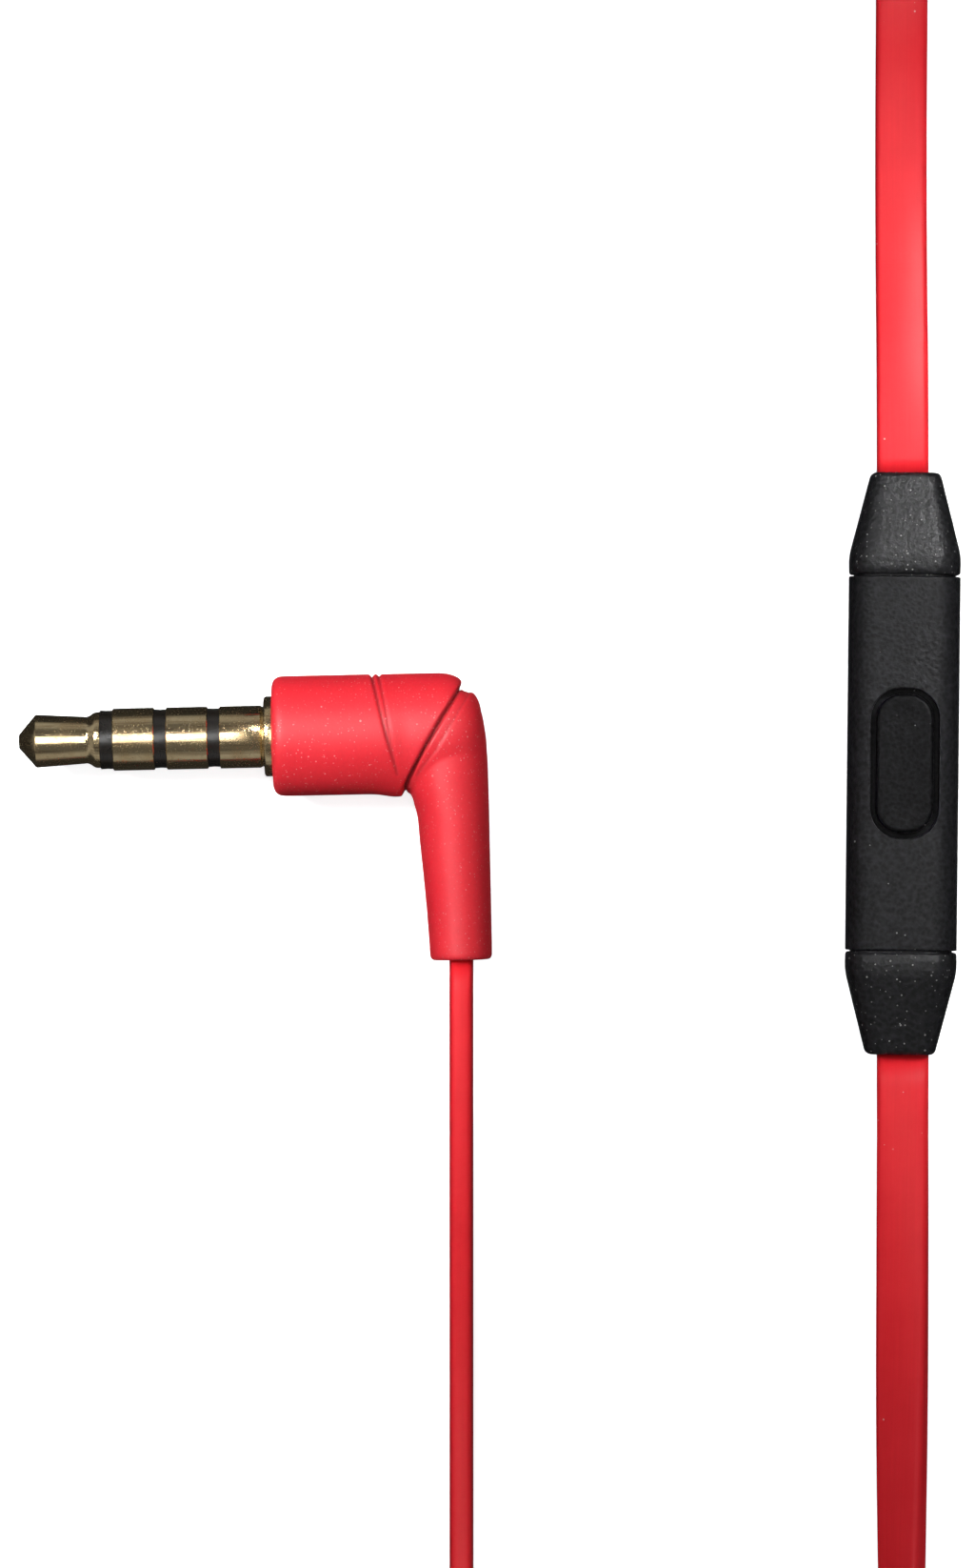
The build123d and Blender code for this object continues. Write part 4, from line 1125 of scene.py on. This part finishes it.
for side, sign in (("right", 1), ("left", -1)):
    ear_at = placed(sign * EAR_AT_X, EAR_AT_Y, 0)
    tilt = Matrix.Rotation(math.radians(sign * NOZZLE_TILT), 4, "Y")
    lean = Matrix.Translation((0, 0, TILT_Z)) @ tilt
    rear = [(0.12, 0), (0.12, 2.2), (0.03, 2.35), (0.0, 2.5), (0, 5.0)]
    rear += [(0.9 - 0.9 * math.cos(math.radians(a)), 5.0 + 0.9 * math.sin(math.radians(a)))
             for a in range(15, 91, 15)]
    rear += [(2.9, EAR_R), (2.96, EAR_R - 0.10), (3.12, EAR_R - 0.10), (3.18, EAR_R),
             (REAR_HIGH - 0.08, EAR_R), (REAR_HIGH, EAR_R - 0.08), (REAR_HIGH, EAR_R - EAR_WALL),
             (EAR_WALL, EAR_R - EAR_WALL), (EAR_WALL, 0)]
    made(f"{side}_rear", turned(rear, axis="Z"), ear_at, ear_black,
         [f"{side}_rear_cover"], sharp=40)
    ring = [(3.62, 5.06), (REAR_HIGH, 5.06), (REAR_HIGH + 0.01, 6.0), (REAR_HIGH + 0.12, 6.1),
            (4.50, 6.1), (4.54, 6.04), (4.66, 6.04), (4.70, 6.1), (4.88, 6.1), (4.99, 6.0),
            (4.99, 4.86), (3.62, 4.86)]
    made(f"{side}_trim", turned_loop(ring), ear_at, trim_gold, [f"{side}_trim_ring"],
         sharp=35)
    front = [(FRONT_FROM, 5.1), (FRONT_FROM, EAR_R - 0.06), (FRONT_FROM + 0.06, EAR_R),
             (6.85, EAR_R)]
    front += [(6.85 + 0.35 * math.sin(math.radians(a)),
               EAR_R - 0.35 + 0.35 * math.cos(math.radians(a))) for a in (20, 40, 60)]
    front += [(7.35, 5.40), (7.75, 5.02), (8.15, 4.58), (8.45, 4.15), (8.58, 3.7), (8.6, 3.2),
              (8.6, 1.9), (6.8, 1.9), (6.8, 5.1)]
    spout = [(-1.0, NOZZLE_BORE), (-1.0, NOZZLE_R), (0.8, NOZZLE_LIP), (1.3, NOZZLE_R),
             (6.25, NOZZLE_R), (6.4, NOZZLE_LIP), (7.0, NOZZLE_LIP), (NOZZLE_LONG, NOZZLE_R + 0.1),
             (NOZZLE_LONG, NOZZLE_BORE)]
    shape = joined(turned_loop(front), moved(turned_loop(spout, 72), lean))
    made(f"{side}_front", shape, ear_at, ear_black, [f"{side}_front_housing"],
         sharp=40)
    weave = woven_disc(f"{side}_mesh", (NOZZLE_BORE - 0.01) * MM, MESH_WIRES, MESH_WIRE_R * MM,
                       mesh_steel)
    weave.transform(ear_at @ Matrix.Translation((0, 0, TILT_Z * MM)) @ tilt
                    @ Matrix.Translation((0, 0, (NOZZLE_LONG - MESH_SUNK) * MM)))
    grid = put(f"{side}_grid", weave, None, False)
    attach(grid, "headset")
    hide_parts(f"{side}_nozzle_mesh")
    bore = NOZZLE_LIP + 0.06
    soft = [(2.1, bore), (2.1, bore + 0.62), (2.18, bore + 0.70), (5.6, bore + 0.70),
            (7.0, bore + 0.74), (7.35, bore + 1.0), (7.25, 4.1), (6.2, 4.75), (4.6, 5.22),
            (2.6, 5.38), (2.36, 5.46), (2.30, 5.62), (2.30, 5.95), (2.38, 6.07), (2.6, 6.1),
            (3.6, 6.02), (4.8, 5.82), (6.2, 5.45), (7.4, 4.85), (8.4, 4.05), (9.2, 3.2),
            (9.55, 2.72), (9.68, 2.4), (9.70, 2.1), (9.62, 1.95), (9.45, 1.9), (7.26, 1.9),
            (7.26, bore)]
    made(f"{side}_soft_tip", moved(turned_loop(soft, 112), lean), ear_at, tip_silicone,
         [f"{side}_ear_tip"], sharp=60, rides=f"{side}_tip")
    stub = [(5.35, 0), (5.35, 1.2), (5.80, 1.2), (5.80, 1.70), (5.95, 1.74), (7.1, 1.72)]
    for k in range(RIBS):
        y = 7.3 + k * RIB_STEP
        r = 1.70 - 0.043 * k
        stub += [(y, r), (y + 0.08, r - 0.16), (y + 0.26, r - 0.18), (y + 0.34, r - 0.02),
                 (y + 0.55, r - 0.03)]
    stub += [(12.72, 1.42), (12.84, 1.38), (12.90, 1.28), (12.90, 0)]
    lay_down = Matrix.Translation((0, 0, STUB_Z)) @ Matrix.Rotation(math.radians(90), 4, "X")
    made(f"{side}_cord_boot", moved(turned(stub, 64, axis="Z"), lay_down), ear_at, stub_red,
         [f"{side}_cable_boot"], sharp=40)

# A small raised dot on the left boot tells the two sides apart by touch.
dot = [(0.0, 0.42)] + [(0.16 * math.sin(math.radians(a)), 0.42 * math.cos(math.radians(a)))
                       for a in range(15, 91, 15)]
mark = moved(turned(dot, 24, axis="Z"), Matrix.Translation((0, -6.5, STUB_Z + 1.66)))
made("left_dot", mark, placed(-EAR_AT_X, EAR_AT_Y, 0), stub_red, [],
     sharp=50)
